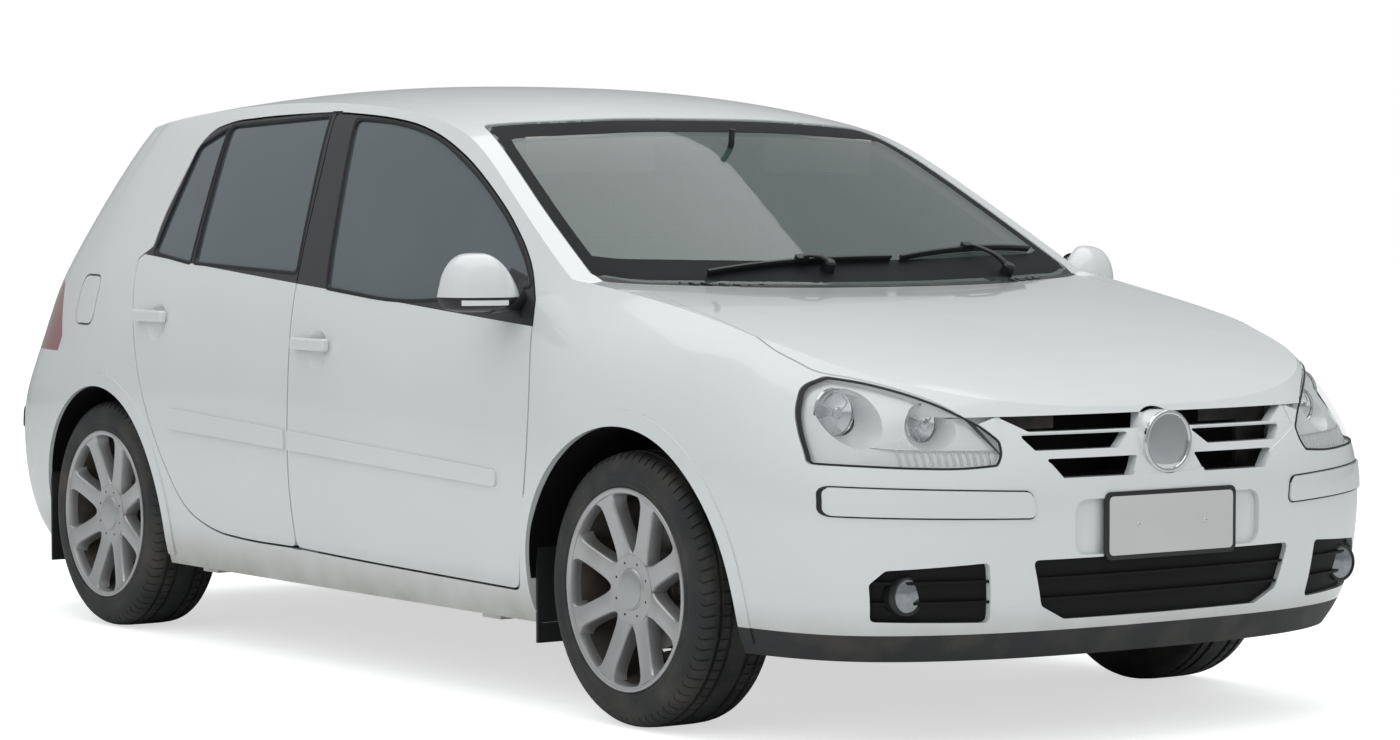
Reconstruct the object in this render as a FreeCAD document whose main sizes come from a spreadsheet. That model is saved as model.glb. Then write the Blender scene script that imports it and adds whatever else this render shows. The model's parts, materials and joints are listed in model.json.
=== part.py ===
import FreeCAD, Part

"""Five-door hatchback car, right-hand drive, built as separate panels, glass, running gear and cabin pieces.

Row frame: X forward, Y to the car's left, Z up, millimetres, origin on the ground at mid length and mid width.
The body lines are drawn on a nominal grid and mapped to the driving sizes of the spreadsheet, so that a change
of wheelbase, length, width or height carries every panel, opening and seat with it.
"""

import math
import os
import Sketcher
from FreeCAD import Vector

doc = FreeCAD.newDocument("Hatchback")
sheet = doc.addObject("Spreadsheet::Sheet", "Size")

# Driving sizes, in millimetres and degrees
SIZES = [
    ("overall_length", 4204, "bumper to bumper"),
    ("overall_width", 1766, "over the door skins, without mirrors"),
    ("roof_height", 1508, "ground to the top of the roof"),
    ("waist_height", 960, "ground to the nominal waist line"),
    ("wheelbase", 2578, "front hub to rear hub"),
    ("front_overhang", 882, "front hub to the nose"),
    ("front_half_track", 758, "mid plane to the middle of a front tyre"),
    ("rear_half_track", 752, "mid plane to the middle of a rear tyre"),
    ("tyre_radius", 317, "hub to the ground"),
    ("rim_radius", 233, "rim flange"),
    ("disc_radius", 140, "brake disc"),
    ("kingpin_inset", 38, "middle of the front tyre to the steering axis"),
    ("arm_drop", -150, "hub to the top of the lower arm's eye"),
]
for row, (alias, value, meaning) in enumerate(SIZES, start=1):
    sheet.set(f"A{row}", meaning)
    sheet.set(f"B{row}", str(value))
    sheet.setAlias(f"B{row}", alias)
doc.recompute()


def size(alias):
    """One driving size from the spreadsheet."""
    return float(sheet.get(alias))


half_length = size("overall_length") / 2
half_width = size("overall_width") / 2
front_hub_x = half_length - size("front_overhang")
rear_hub_x = front_hub_x - size("wheelbase")

# Nominal stations of the body drawing and where the driving sizes put them
X_GRID = [(-2102, -half_length), (-1358, rear_hub_x), (1220, front_hub_x), (2102, half_length)]
Y_GRID = [(0, 0), (883, half_width)]
Z_GRID = [(0, 0), (960, size("waist_height")), (1508, size("roof_height"))]


def grid_map(value, stations):
    """Maps a nominal coordinate to the real one, in straight pieces between the stations."""
    last = len(stations) - 2
    for index, ((a, ra), (b, rb)) in enumerate(zip(stations, stations[1:])):
        if value <= b or index == last:
            return ra + (value - a) * (rb - ra) / (b - a)


def gx(x):
    return grid_map(x, X_GRID)


def gy(y):
    return math.copysign(grid_map(abs(y), Y_GRID), y)


def gz(z):
    return grid_map(z, Z_GRID)


def at(x, y, z):
    """A point of the nominal body drawing, in real millimetres."""
    return Vector(gx(x), gy(y), gz(z))


def knot_table(count, degree):
    inner = count - degree - 1
    return [float(i) for i in range(inner + 2)], [degree + 1] + [1] * inner + [degree + 1]


def surface(poles):
    """Smooth cubic surface held by a net of poles."""
    knots_u, mults_u = knot_table(len(poles), 3)
    knots_v, mults_v = knot_table(len(poles[0]), 3)
    made = Part.BSplineSurface()
    made.buildFromPolesMultsKnots(poles, mults_u, mults_v, knots_u, knots_v, False, False, 3, 3)
    return made


# Body side: half widths of the section curves at the levels of LEVELS
LEVELS = [150, 230, 320, 400, 500, 610, 700, 780, 850, 910, 970, 1050, 1180, 1310, 1410, 1470, 1540]
NOSE_X = [2010, 2066, 2092, 2101, 2107, 2103, 2068, 2012, 1950, 1890, 1830, 1750, 1610, 1470, 1370, 1310, 1240]
NOSE_HALF = [740, 790, 815, 825, 832, 828, 806, 778, 742, 706, 670, 620, 560, 510, 470, 440, 400]
TAIL_X = [-2018, -2072, -2098, -2108, -2112, -2104, -2064, -2030, -2006, -1986, -1962, -1920, -1842, -1762, -1698, -1652, -1590]
TAIL_HALF = [745, 790, 815, 828, 836, 838, 828, 815, 802, 790, 776, 750, 706, 655, 605, 560, 490]
SIDE_STATIONS = {
    1560: [780, 822, 842, 852, 864, 872, 860, 836, 800, 745, 690, 630, 570, 520, 480, 450, 410],
    1220: [800, 842, 864, 876, 886, 888, 882, 872, 850, 812, 752, 700, 650, 600, 560, 530, 490],
    900: [805, 848, 868, 880, 887, 888, 883, 876, 864, 846, 822, 782, 716, 652, 600, 560, 500],
    600: [806, 850, 866, 876, 886, 888, 884, 878, 869, 856, 838, 806, 745, 684, 632, 590, 520],
    150: [808, 852, 867, 877, 887, 889, 886, 881, 873, 862, 846, 816, 760, 702, 655, 615, 540],
    -450: [808, 852, 867, 877, 887, 889, 887, 882, 875, 865, 850, 822, 768, 712, 666, 625, 550],
    -1000: [806, 850, 866, 877, 887, 889, 887, 882, 874, 863, 848, 819, 764, 706, 656, 612, 535],
    -1450: [796, 842, 862, 874, 884, 887, 883, 875, 865, 852, 836, 804, 742, 678, 626, 582, 505],
}


def side_net(depth_low, depth_high):
    """Poles of the body side and ends, drawn in by depth_low below the waist and depth_high above it."""
    net = []
    for level, z in enumerate(LEVELS):
        deep = depth_low if z < 985 else depth_high
        nose, nose_half = NOSE_X[level] - deep, NOSE_HALF[level] - 0.6 * deep
        tail, tail_half = TAIL_X[level] + deep, TAIL_HALF[level] - 0.7 * deep
        points = [
            (nose, 0), (nose, 0.22 * nose_half), (nose - 14, 0.45 * nose_half), (nose - 62, 0.70 * nose_half),
            (nose - 165, 0.93 * nose_half), (nose - 320, 1.015 * nose_half),
        ]
        points += [(x, half[level] - deep) for x, half in SIDE_STATIONS.items()]
        points += [
            (tail + 290, 1.02 * tail_half), (tail + 105, 0.97 * tail_half), (tail + 22, 0.76 * tail_half),
            (tail, 0.40 * tail_half), (tail, 0),
        ]
        net.append([at(x, y, z) for x, y in points])
    return [[net[level][column] for level in range(len(LEVELS))] for column in range(len(net[0]))]


def tub(depth_low=0.0, depth_high=0.0):
    """Closed solid inside the body side surface, from the underside to above the roof."""
    left = surface(side_net(depth_low, depth_high)).toShape()
    right = left.mirror(Vector(0, 0, 0), Vector(0, 1, 0))
    faces = [left, right]
    for z in (gz(LEVELS[0]), gz(LEVELS[-1])):
        rim = [e for side in (left, right) for e in side.Edges if abs(e.BoundBox.ZMin - z) + abs(e.BoundBox.ZMax - z) < 1]
        faces.append(Part.Face(Part.Wire(Part.__sortEdges__(rim))))
    shell = Part.makeShell(faces)
    shell.sewShape()
    solid = Part.Solid(shell)
    if solid.Volume < 0:
        solid.reverse()
    return solid


# Centre line of the bonnet, and of the windscreen with the roof: station, height, drop at the 700 mm line
BONNET_LINE = [
    (2320, 470, 30), (2150, 655, 30), (2075, 722, 28), (1985, 782, 26), (1850, 842, 22), (1640, 900, 14),
    (1400, 951, 10), (1150, 990, 6), (900, 1020, 0), (650, 1040, 0),
]
CANOPY_LINE = [
    (1400, 834, 60), (1200, 940, 60), (950, 1073, 60), (700, 1205, 60), (480, 1322, 60), (330, 1396, 60),
    (220, 1434, 62), (80, 1466, 64), (-150, 1494, 64), (-500, 1512, 64), (-900, 1508, 64), (-1300, 1480, 62),
    (-1600, 1440, 60), (-1850, 1392, 60), (-2100, 1330, 60),
]
CROWN_Y = [0, 240, 480, 700, 900, 1100]


def top_skin(line, lower=0.0):
    """Crowned sheet over the car, held by the poles of a centre line."""
    poles = []
    for x, z, drop in line:
        half = [at(x, y, z - lower - drop * (max(y - 120, 0) / 580) ** 2) for y in CROWN_Y]
        poles.append([Vector(p.x, -p.y, p.z) for p in reversed(half[1:])] + half)
    return surface(poles)


def below(skin):
    """Solid under a top skin, reaching below the ground."""
    return skin.toShape().extrude(Vector(0, 0, -1600))


def body_volume(depth_low, depth_high, lower):
    top = below(top_skin(BONNET_LINE, lower)).fuse(below(top_skin(CANOPY_LINE, lower)))
    return tub(depth_low, depth_high).common(top).Solids[0]





def grown(points, distance):
    """Outline moved outward by a distance, corners mitred."""
    moved = []
    count = len(points)
    turn = sum(points[i - 1].x * points[i].y - points[i].x * points[i - 1].y for i in range(count))
    distance = math.copysign(distance, distance * turn)
    for index, point in enumerate(points):
        before, after = points[index - 1], points[(index + 1) % count]
        first = (point - before).normalize()
        second = (after - point).normalize()
        out_first, out_second = Vector(first.y, -first.x, 0), Vector(second.y, -second.x, 0)
        blend = out_first + out_second
        moved.append(point + blend * (distance / max(1 + out_first.dot(out_second), 0.35)))
    return moved


def rounded_wire(points, radii, place):
    """Closed wire through an outline with every corner rounded; None rounds as softly as the outline allows."""
    starts, ends = [], []
    count = len(points)
    for index, point in enumerate(points):
        back = points[index - 1] - point
        ahead = points[(index + 1) % count] - point
        reach = 0.46 * min(back.Length, ahead.Length)
        if radii[index] is not None:
            half_angle = back.getAngle(ahead) / 2
            reach = max(0.8, min(reach, radii[index] / math.tan(half_angle)))
        starts.append(point + back.normalize() * reach)
        ends.append(point + ahead.normalize() * reach)
    edges = []
    for index, point in enumerate(points):
        bend = Part.BezierCurve()
        bend.setPoles([place(starts[index]), place(point), place(ends[index])])
        edges.append(bend.toShape())
        edges.append(Part.makeLine(place(ends[index]), place(starts[(index + 1) % count])))
    return Part.Wire(edges)


PLACES = {
    "x": lambda depth: (lambda p: Vector(depth, p.x, p.y)),
    "y": lambda depth: (lambda p: Vector(p.x, depth, p.y)),
    "z": lambda depth: (lambda p: Vector(p.x, p.y, depth)),
}
MAPS = {"x": (gy, gz), "y": (gx, gz), "z": (gx, gy)}


def plug(corners, axis, near, far, grow=0.0):
    """Solid between two planes across an axis. Each corner of the outline gives its two nominal coordinates,
    its rounding, the depth at which it lies on the skin and its sideways drift per millimetre of depth."""
    first_map, second_map = MAPS[axis]
    base = grown([Vector(first_map(c[0]), second_map(c[1]), 0) for c in corners], grow)
    radii = [c[2] for c in corners]
    if len(corners[0]) == 3:
        place = PLACES[axis]
        run = place(far)(Vector(0, 0, 0)) - place(near)(Vector(0, 0, 0))
        made = Part.Face(rounded_wire(base, radii, place(near))).extrude(run)
    else:
        wires = []
        for depth in (near, far):
            points = []
            for corner, point in zip(corners, base):
                run = abs(corner[3]) - abs(depth)
                points.append(point + Vector(corner[4], corner[5], 0) * run)
            wires.append(rounded_wire(points, radii, PLACES[axis](depth)))
        made = Part.makeLoft(wires, True, True)
    if made.Volume < 0:
        made.reverse()
    return made


def box(x0, x1, y0, y1, z0, z1):
    """Box between nominal stations."""
    low = at(min(x0, x1), min(y0, y1), min(z0, z1))
    high = at(max(x0, x1), max(y0, y1), max(z0, z1))
    return Part.makeBox(high.x - low.x, high.y - low.y, high.z - low.z, low)


def tube(radius, centre_x, centre_z, y0, y1):
    """Cylinder across the car."""
    return Part.makeCylinder(radius, abs(y1 - y0), Vector(centre_x, min(y0, y1), centre_z), Vector(0, 1, 0))


def mirrored(shape):
    return shape.mirror(Vector(0, 0, 0), Vector(0, 1, 0))


def solids(shape, least=2000):
    """The solids of a shape without slivers, as one solid or a compound."""
    kept = [s for s in shape.Solids if s.Volume > least]
    return kept[0] if len(kept) == 1 else Part.makeCompound(kept)


def add(name, shape):
    """Puts a finished panel into the document."""
    feature = doc.addObject("Part::Feature", name)
    feature.Shape = shape
    feature.Label = name
    feature.Placement = FreeCAD.Placement()
    return feature


def both(shape):
    """Right-hand piece and its left-hand twin as one shape."""
    return Part.makeCompound(shape.Solids + mirrored(shape).Solids)


def symmetric(half):
    """Closes a half outline given from the centre line round to the centre line."""
    other = [(c[0], -c[1]) + tuple(c[2:]) for c in reversed(half) if c[1] != 0]
    return half + other


def symmetric_first(half):
    """As symmetric, for outlines whose first coordinate is the half width."""
    other = []
    for c in reversed(half):
        if c[0] != 0:
            drift = (c[3], -c[4], c[5]) if len(c) > 3 else ()
            other.append((-c[0], c[1], c[2]) + drift)
    return half + other


# Outlines on the right-hand skin, counter-clockwise with the nose to the right.
# Station, height, rounding, half width of the skin there, drift of station and height with depth.
B_LINE = [(-421, 1428, 648, 0.235), (-372, 1278, 723, 0.21), (-339, 1148, 779, 0.18), (-295, 981, 844, 0.13),
          (-275, 789, 880, 0.10), (-273, 608, 888, 0.09), (-275, 427, 880, 0.09)]
B_TOP_ROUND, B_FOOT_ROUND, SHARED_ROUND = 12, 25, 3
FRONT_DOOR = [
    (777, 280, 36, 858, 0, 0), (820, 427, None, 880, 0, 0), (852, 617, None, 887, 0, 0),
    (848, 781, None, 875, 0, 0), (812, 921, None, 843, 0, 0), (795, 967, 22, 825, 0, 0),
    (745, 1037, None, 798, 0, 0), (677, 1095, None, 776, 0, 0), (571, 1166, None, 750, 0, 0),
    (439, 1238, None, 722, 0, 0), (311, 1300, None, 699, 0, 0), (160, 1356, None, 677, 0, 0),
    (19, 1391, None, 663, 0, 0), (-140, 1411, None, 656, 0, 0), (-300, 1422, None, 653, 0, 0),
]
FRONT_DOOR += [(x, z, B_TOP_ROUND if z > 1400 else None, y, k, 0) for x, z, y, k in B_LINE]
FRONT_DOOR += [(-268, 302, B_FOOT_ROUND, 864, 0.09, 0), (0, 294, None, 864, 0, 0), (300, 288, None, 864, 0, 0)]
REAR_DOOR = [(-515, 302, None, 863, 0, 0), (-268, 302, B_FOOT_ROUND, 864, 0, 0)]
REAR_DOOR += [(x, z, B_TOP_ROUND if z > 1400 else None, y, 0, 0) for x, z, y, k in reversed(B_LINE)]
REAR_DOOR += [
    (-614, 1426, None, 648, 0, 0), (-804, 1421, None, 648, 0, 0), (-971, 1412, None, 648, 0.30, 0),
    (-1070, 1392, None, 656, 0.33, 0), (-1120, 1350, None, 676, 0.33, 0), (-1141, 1240, None, 728, 0.30, 0),
    (-1160, 1157, None, 765, 0.26, 0), (-1156, 1066, 14, 806, 0.21, 0), (-1224, 1034, 14, 819, 0.18, 0),
    (-1183, 922, None, 854, 0.16, 0), (-1085, 678, None, 886, 0.14, 0), (-972, 505, None, 885, 0.14, 0),
    (-858, 362, None, 871, 0.15, 0), (-703, 313, None, 865, 0.15, 0),
]
FRONT_WINDOW = [
    (755, 1001, 12), (703, 1055, None), (586, 1142, None), (388, 1251, None), (141, 1352, None),
    (-78, 1395, None), (-300, 1408, 16), (-140, 979, 16), (264, 948, None),
]
REAR_WINDOW = [(-319, 1014, 16), (-444, 1416, 16), (-970, 1396, 16), (-878, 1031, 16)]
REAR_VENT = [(-907, 1031, 12), (-989, 1390, 12), (-1112, 1342, 30), (-1135, 1055, 14)]
FENDER_ZONE = [
    (2300, 90, 0), (2300, 1300, 0), (940, 1300, 0), (857, 1052, 0), (824, 1045, 0), (770, 1020, 0),
    (795, 967, 0), (812, 921, 0), (848, 781, 0), (852, 617, 0), (820, 427, 0), (790, 300, 0), (790, 90, 0),
]
FRONT_BUMPER_ZONE = [
    (2300, 90, 0), (2300, 731, 0), (2010, 731, 0), (1985, 629, 0), (1824, 635, 0), (1676, 641, 0),
    (1518, 635, 0), (1452, 612, 0), (1440, 90, 0),
]
REAR_BUMPER_ZONE = [(-1560, 90, 0), (-1570, 640, 0), (-1660, 652, 0), (-2300, 652, 0), (-2300, 90, 0)]
TAIL_LAMP_ZONE = [
    (-1668, 764, 10), (-1650, 806, 14), (-1737, 945, 14), (-1760, 962, 10), (-2200, 962, 0), (-2200, 764, 0),
]
FUEL_FLAP = [(-1424, 846, 40), (-1424, 984, 40), (-1564, 984, 40), (-1564, 846, 40)]

# Outlines in plan: station, half width, rounding
WINDSCREEN = symmetric([
    (283, 0, None), (281, 133, None), (265, 400, None), (208, 600, 30), (416, 649, None), (613, 691, None),
    (759, 716, None), (903, 738, 22), (975, 648, None), (1050, 412, None), (1084, 202, None), (1090, 0, None),
])
BONNET = symmetric([
    (1122, 0, None), (1114, 220, None), (1080, 430, None), (1010, 650, None), (966, 714, 16), (1159, 721, None),
    (1331, 731, None), (1580, 742, None), (1755, 716, None), (1833, 662, None), (1897, 602, None),
    (1955, 537, None), (2014, 476, 6), (2060, 446, 0), (2140, 420, 0), (2140, 0, 0),
])
COWL = symmetric([
    (1050, 0, None), (1046, 202, None), (1012, 412, None), (938, 648, None), (880, 738, 10), (958, 722, 10),
    (1002, 652, None), (1072, 432, None), (1106, 222, None), (1114, 0, None),
])
ROOF = symmetric([
    (-1625, 0, 0), (-1625, 505, 10), (-1300, 545, None), (-800, 572, None), (-300, 580, None), (60, 572, None),
    (190, 562, 30), (330, 400, None), (340, 0, None),
])

# Outlines seen from the front or the back: half width, height, rounding
HEADLAMP = [
    (-805, 635, 10), (-751, 633, None), (-668, 627, None), (-547, 623, None), (-460, 629, 12), (-442, 654, None),
    (-440, 684, 14), (-473, 718, None), (-540, 761, None), (-605, 791, None), (-665, 812, None), (-712, 822, 16),
    (-752, 802, None), (-783, 749, None), (-798, 697, None),
]
UPPER_GRILLE = symmetric_first([
    (0, 600, None), (70, 603, None), (120, 612, None), (300, 614, 16), (346, 644, 16), (436, 684, 10), (432, 733, 4),
])
LOWER_GRILLE = symmetric_first([(0, 289, 0), (285, 290, 20), (350, 322, 20), (380, 424, 12)])
FOG_BOX = [(-712, 297, 14), (-470, 291, 14), (-486, 423, 14), (-700, 410, 14), (-726, 380, 14)]
PLATE_RECESS = [(-275, 430, 36), (275, 430, 36), (275, 552, 36), (-275, 552, 36)]
BUMPER_STRIP = [(-802, 529, 12), (-377, 517, 16), (-388, 573, 16), (-800, 589, 12)]
GRILLE_SLOTS = [
    [(-420, 745, 0), (-418, 730, 4), (-360, 700, 8), (-60, 700, 4), (-42, 730, 4), (-42, 745, 0)],
    [(-388, 693, 6), (-358, 660, 8), (-134, 660, 4), (-92, 693, 4)],
    [(-336, 642, 6), (-300, 600, 2), (-106, 600, 2), (-84, 642, 4)],
]

TAILGATE = symmetric_first([
    (0, 656, None, 2066, 0, 0), (545, 656, 24, 2058, -0.05, 0), (590, 720, None, 2030, -0.08, 0),
    (602, 800, None, 2005, -0.10, 0), (604, 950, None, 1972, -0.12, 0), (592, 1040, None, 1915, -0.16, 0),
    (566, 1150, None, 1850, -0.20, 0), (536, 1270, None, 1780, -0.22, 0), (505, 1370, None, 1715, -0.22, 0),
    (498, 1500, 0, 1650, -0.22, 0), (0, 1500, 0, 1650, 0, 0),
])
REAR_GLASS = symmetric_first([
    (0, 1046, None), (430, 1048, None), (505, 1062, 30), (472, 1220, None), (436, 1366, 34), (0, 1386, None),
])

GAP = 2.8
SEAT = 0.3
GROUND_LINE = 205
JACK_STATIONS, JACK_PAD_LOW = (600, -800), 195

skin = body_volume(0, 0, 0)
middle = body_volume(32, 22, 26)
pillar_face = body_volume(38, 28, 32)
seal_face = body_volume(32 + SEAT, 22 + SEAT, 26 + SEAT)
cabin_void = body_volume(85, 60, 44)
outer_layer = skin.cut(middle).common(box(-2102, 2102, -950, 950, GROUND_LINE, 1700))
inner_layer = middle.cut(cabin_void).common(box(-2102, 2102, -950, 950, GROUND_LINE, 1700))
right_half = box(-2300, 1990, -1000, -430, 90, 1700)
outer_right = outer_layer.common(right_half)
inner_right = inner_layer.common(right_half)


def side_prism(points, grow=0.0):
    """Straight prism through the right-hand side."""
    return plug(points, "y", -1000, -250, grow)


def door_prism(points, grow):
    """Drafted prism of a door through the right-hand side."""
    return plug(points, "y", -960, -420, grow)


def glass_sheet(points, edge):
    """Curved pane let into the right-hand side, its outline grown by the edge hidden in the frame."""
    return side_sheet.common(plug(points, "y", -1000, -420, edge))


side_sheet = tub(6, 6).cut(tub(10, 10)).common(box(-1300, 900, -950, -400, 880, 1480))


def opening_prism(points):
    """Prism of a door opening; where both openings meet at the centre line their corners are nearly square."""
    shared = (B_TOP_ROUND, B_FOOT_ROUND)
    return door_prism([(c[0], c[1], SHARED_ROUND if c[2] in shared else c[2]) + c[3:] for c in points], GAP)


front_opening = opening_prism(FRONT_DOOR)
rear_opening = opening_prism(REAR_DOOR)
shared_top = side_prism([(-448, 1400, 0), (-394, 1400, 0), (-394, 1432.5, 0), (-448, 1432.5, 0)])
shared_foot = side_prism([(-294, 297.5, 0), (-242, 297.5, 0), (-242, 330, 0), (-294, 330, 0)])

# Inner parts of the doors stop short of the centre pillar and end at the waist
PILLAR_HALF = 52
B_REAR = [(x + PILLAR_HALF, z, y, k) for x, z, y, k in B_LINE if z < 1000]
B_FRONT = [(x - PILLAR_HALF, z, y, k) for x, z, y, k in B_LINE if z < 1000]
FRONT_INNER = [
    (757, 300, 30, 858, 0, 0), (812, 430, None, 880, 0, 0), (843, 617, None, 887, 0, 0),
    (838, 781, None, 875, 0, 0), (800, 925, 20, 843, 0, 0), (264, 946, None, 850, 0, 0),
]
FRONT_INNER += [(x, min(z, 974), 20 if z > 900 else None, y, k + 0.02, 0) for x, z, y, k in B_REAR]
FRONT_INNER += [(-214, 322, 24, 864, 0.11, 0), (100, 312, None, 864, 0, 0), (400, 306, None, 864, 0, 0)]
REAR_INNER = [(-515, 326, None, 863, 0, 0), (-336, 326, 24, 864, 0, 0)]
REAR_INNER += [(x, min(z, 1000), 20 if z > 900 else None, y, 0, 0) for x, z, y, k in reversed(B_FRONT)]
REAR_INNER += [
    (-878, 1026, None, 825, 0.10, 0), (-1130, 1044, 20, 812, 0.22, 0), (-1150, 922, None, 854, 0.19, 0),
    (-1058, 678, None, 886, 0.16, 0), (-945, 505, None, 885, 0.16, 0), (-838, 382, None, 871, 0.16, 0),
    (-690, 334, None, 865, 0.16, 0),
]


# Windscreen, bonded on a flange of the pillars, header and cowl
GLASS_TOP, GLASS_BOTTOM, FLANGE = 3, 9.5, 18
screen_area = plug(WINDSCREEN, "z", 900, 1600, 0)
under_glass = below(top_skin(CANOPY_LINE, GLASS_BOTTOM))
windscreen = below(top_skin(CANOPY_LINE, GLASS_TOP)).cut(under_glass).common(screen_area)
screen_cut = screen_area.cut(under_glass).fuse(plug(WINDSCREEN, "z", 900, 1600, -FLANGE))
add("windscreen", solids(windscreen))



def raised(region, lift):
    """The layer that stands proud of the body side by a lift, within a region."""
    return tub(-lift, -lift).common(region).cut(tub())


# Wheel arches: centre station, centre height, radius; depth from the skin line inward
FLARE_WIDTH, FLARE_LIFT, STRIP_LIFT, MOULDING_LIFT = 38, 4, 5, 7
FRONT_ARCH_R, REAR_ARCH_R = 392, 366
front_arch = tube(FRONT_ARCH_R, front_hub_x - 5, 298, -1000, -465)
rear_arch = tube(REAR_ARCH_R, rear_hub_x, 310, -1000, -615)

# Handles: station and height of the bar's middle, and of the round cup behind it
HANDLE_LENGTH, HANDLE_HEIGHT, HANDLE_THICK, HANDLE_STAND = 172, 32, 16, 24
POST_LENGTH, POST_HEIGHT, POST_ROOT = 28, 22, 17
CUP_RADIUS, CUP_DEPTH = 50, 13
FRONT_HANDLE, FRONT_CUP = (-158, 832), (-140, 830)
REAR_HANDLE, REAR_CUP = (-1043, 881), (-1018, 880)
FRONT_MOULDING = [(-264, 556, 3), (721, 522, 14), (721, 563, 14), (-264, 607, 3)]
REAR_MOULDING = [(-913, 579, 14), (-284, 557, 3), (-284, 608, 3), (-905, 636, 14)]
moulding_layer = raised(box(-950, 760, -950, -800, 500, 660), MOULDING_LIFT)


def door(outline, inner_outline, windows, moulding, handle, cup):
    """Door panel of the right-hand side with its window frame, handle and moulding, and its panes."""
    leaf = outer_right.common(door_prism(outline, -GAP))
    core = inner_right.common(door_prism(inner_outline, 0))
    probe = Part.makeBox(2, 300, 2, at(cup[0], -1000, cup[1]))
    skin_y = min(corner.Y for corner in leaf.common(probe).Vertexes)
    ball_radius = (CUP_RADIUS ** 2 + CUP_DEPTH ** 2) / (2 * CUP_DEPTH)
    ball_centre = Vector(gx(cup[0]), skin_y + CUP_DEPTH - ball_radius, gz(cup[1]))
    handle_end, handle_y = gx(handle[0]) - HANDLE_LENGTH / 2, skin_y - HANDLE_STAND
    bar_low = Vector(handle_end, handle_y, gz(handle[1]) - HANDLE_HEIGHT / 2)
    bar = Part.makeBox(HANDLE_LENGTH, HANDLE_THICK, HANDLE_HEIGHT, bar_low)
    bar = bar.makeFillet(7, [e for e in bar.Edges if e.BoundBox.YMax < handle_y + 1 or e.BoundBox.YLength > 9])
    grip = [bar]
    for post_x in (handle_end + 8, handle_end + HANDLE_LENGTH - 8 - POST_LENGTH):
        post_low = Vector(post_x, handle_y + 6, gz(handle[1]) - POST_HEIGHT / 2)
        grip.append(Part.makeBox(POST_LENGTH, HANDLE_STAND - 6 + POST_ROOT, POST_HEIGHT, post_low))
    trim = moulding_layer.common(side_prism(moulding))
    panes = [pane for window in windows for pane in glass_sheet(window, 8).Solids]
    cuts = [side_prism(window) for window in windows] + panes
    panel = leaf.cut(Part.makeSphere(ball_radius, ball_centre)).fuse([core, trim] + grip).cut(cuts)
    return solids(panel), Part.makeCompound(panes)


front_panel, front_pane = door(FRONT_DOOR, FRONT_INNER, [FRONT_WINDOW], FRONT_MOULDING, FRONT_HANDLE, FRONT_CUP)
rear_panel_door, rear_pane = door(REAR_DOOR, REAR_INNER, [REAR_WINDOW, REAR_VENT], REAR_MOULDING, REAR_HANDLE, REAR_CUP)
for side, turn in (("right", lambda s: s), ("left", mirrored)):
    add(f"door_front_{side}", turn(front_panel))
    add(f"door_rear_{side}", turn(rear_panel_door))
    add(f"door_glass_front_{side}", turn(front_pane))
    add(f"door_glass_rear_{side}", turn(rear_pane))

bonnet_area = plug(BONNET, "z", 600, 1200, 0)
bonnet_cut = plug(BONNET, "z", 600, 1200, GAP)
cowl_area = plug(COWL, "z", 850, 1200, 0)
roof_area = plug(ROOF, "z", 1150, 1700, 0)
lamp_area = plug(HEADLAMP, "x", 1640, 2300, 0)
grille_area = plug(UPPER_GRILLE, "x", 1900, 2300, 0)
tailgate_open = plug(TAILGATE, "x", -2300, -1500, GAP).common(box(-2400, -1622, -900, 900, 500, 1700))
tailgate_area = plug(TAILGATE, "x", -2300, -1500, -GAP).common(box(-2400, -1627.6, -900, 900, 500, 1700))
fender_area = side_prism(FENDER_ZONE)
bumper_area = side_prism(FRONT_BUMPER_ZONE)
rear_bumper_area = side_prism(REAR_BUMPER_ZONE)
tail_lamp_area = side_prism(TAIL_LAMP_ZONE).common(box(-2300, -1600, -1000, -610, 700, 1000))
flap_area = plug(FUEL_FLAP, "y", -1000, -760, 0)

BADGE_Z, BADGE_RADIUS = 669, 70
badge_notch = Part.makeCylinder(BADGE_RADIUS + 7, 400, Vector(1900, 0, gz(BADGE_Z)), Vector(1, 0, 0))
bonnet = outer_layer.common(bonnet_area).common(box(900, 2200, -900, 900, 734, 1200)).cut(badge_notch)
add("bonnet", solids(bonnet))
fender = outer_right.common(fender_area)
fender = fender.cut([bonnet_cut, cowl_area, screen_cut, lamp_area, bumper_area, front_arch, front_opening])
flare = tube(FRONT_ARCH_R + FLARE_WIDTH, front_hub_x - 5, 298, -1000, -465).cut(front_arch)
flare = flare.common(raised(box(700, 1700, -950, -700, 230, 760), FLARE_LIFT))
fender = solids(fender.fuse(flare.common(fender_area).cut([bumper_area, front_opening])))
add("fender_right", fender)
add("fender_left", mirrored(fender))
cowl = outer_layer.common(cowl_area).cut(screen_cut).cut(bonnet_cut)
add("cowl_panel", solids(cowl))

# Side frame: outer skin, inner structure, centre pillar with its seal, hinge pillar
frame_outer = outer_right.cut(fender_area)
frame_outer = frame_outer.cut([front_opening, rear_opening, shared_top, shared_foot, rear_bumper_area, tail_lamp_area])
flap_hole = outer_right.common(plug(FUEL_FLAP, "y", -1000, -700, GAP))
frame_inner = inner_right.common(box(-2102, 905, -950, -250, GROUND_LINE, 1700))
frame_inner = frame_inner.cut([front_opening, rear_opening, shared_top, shared_foot])
side_frame = frame_outer.fuse(frame_inner)
pillar_outline = [(x - PILLAR_HALF + 8, z, None) for x, z, y, k in B_LINE]
pillar_outline = [(-478, 1460, 0)] + pillar_outline + [(-326, 280, 0), (-220, 280, 0)]
pillar_outline += [(x + PILLAR_HALF - 8, z, None) for x, z, y, k in reversed(B_LINE)] + [(-372, 1460, 0)]
pillar = pillar_face.cut(cabin_void).common(side_prism(pillar_outline))
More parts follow.
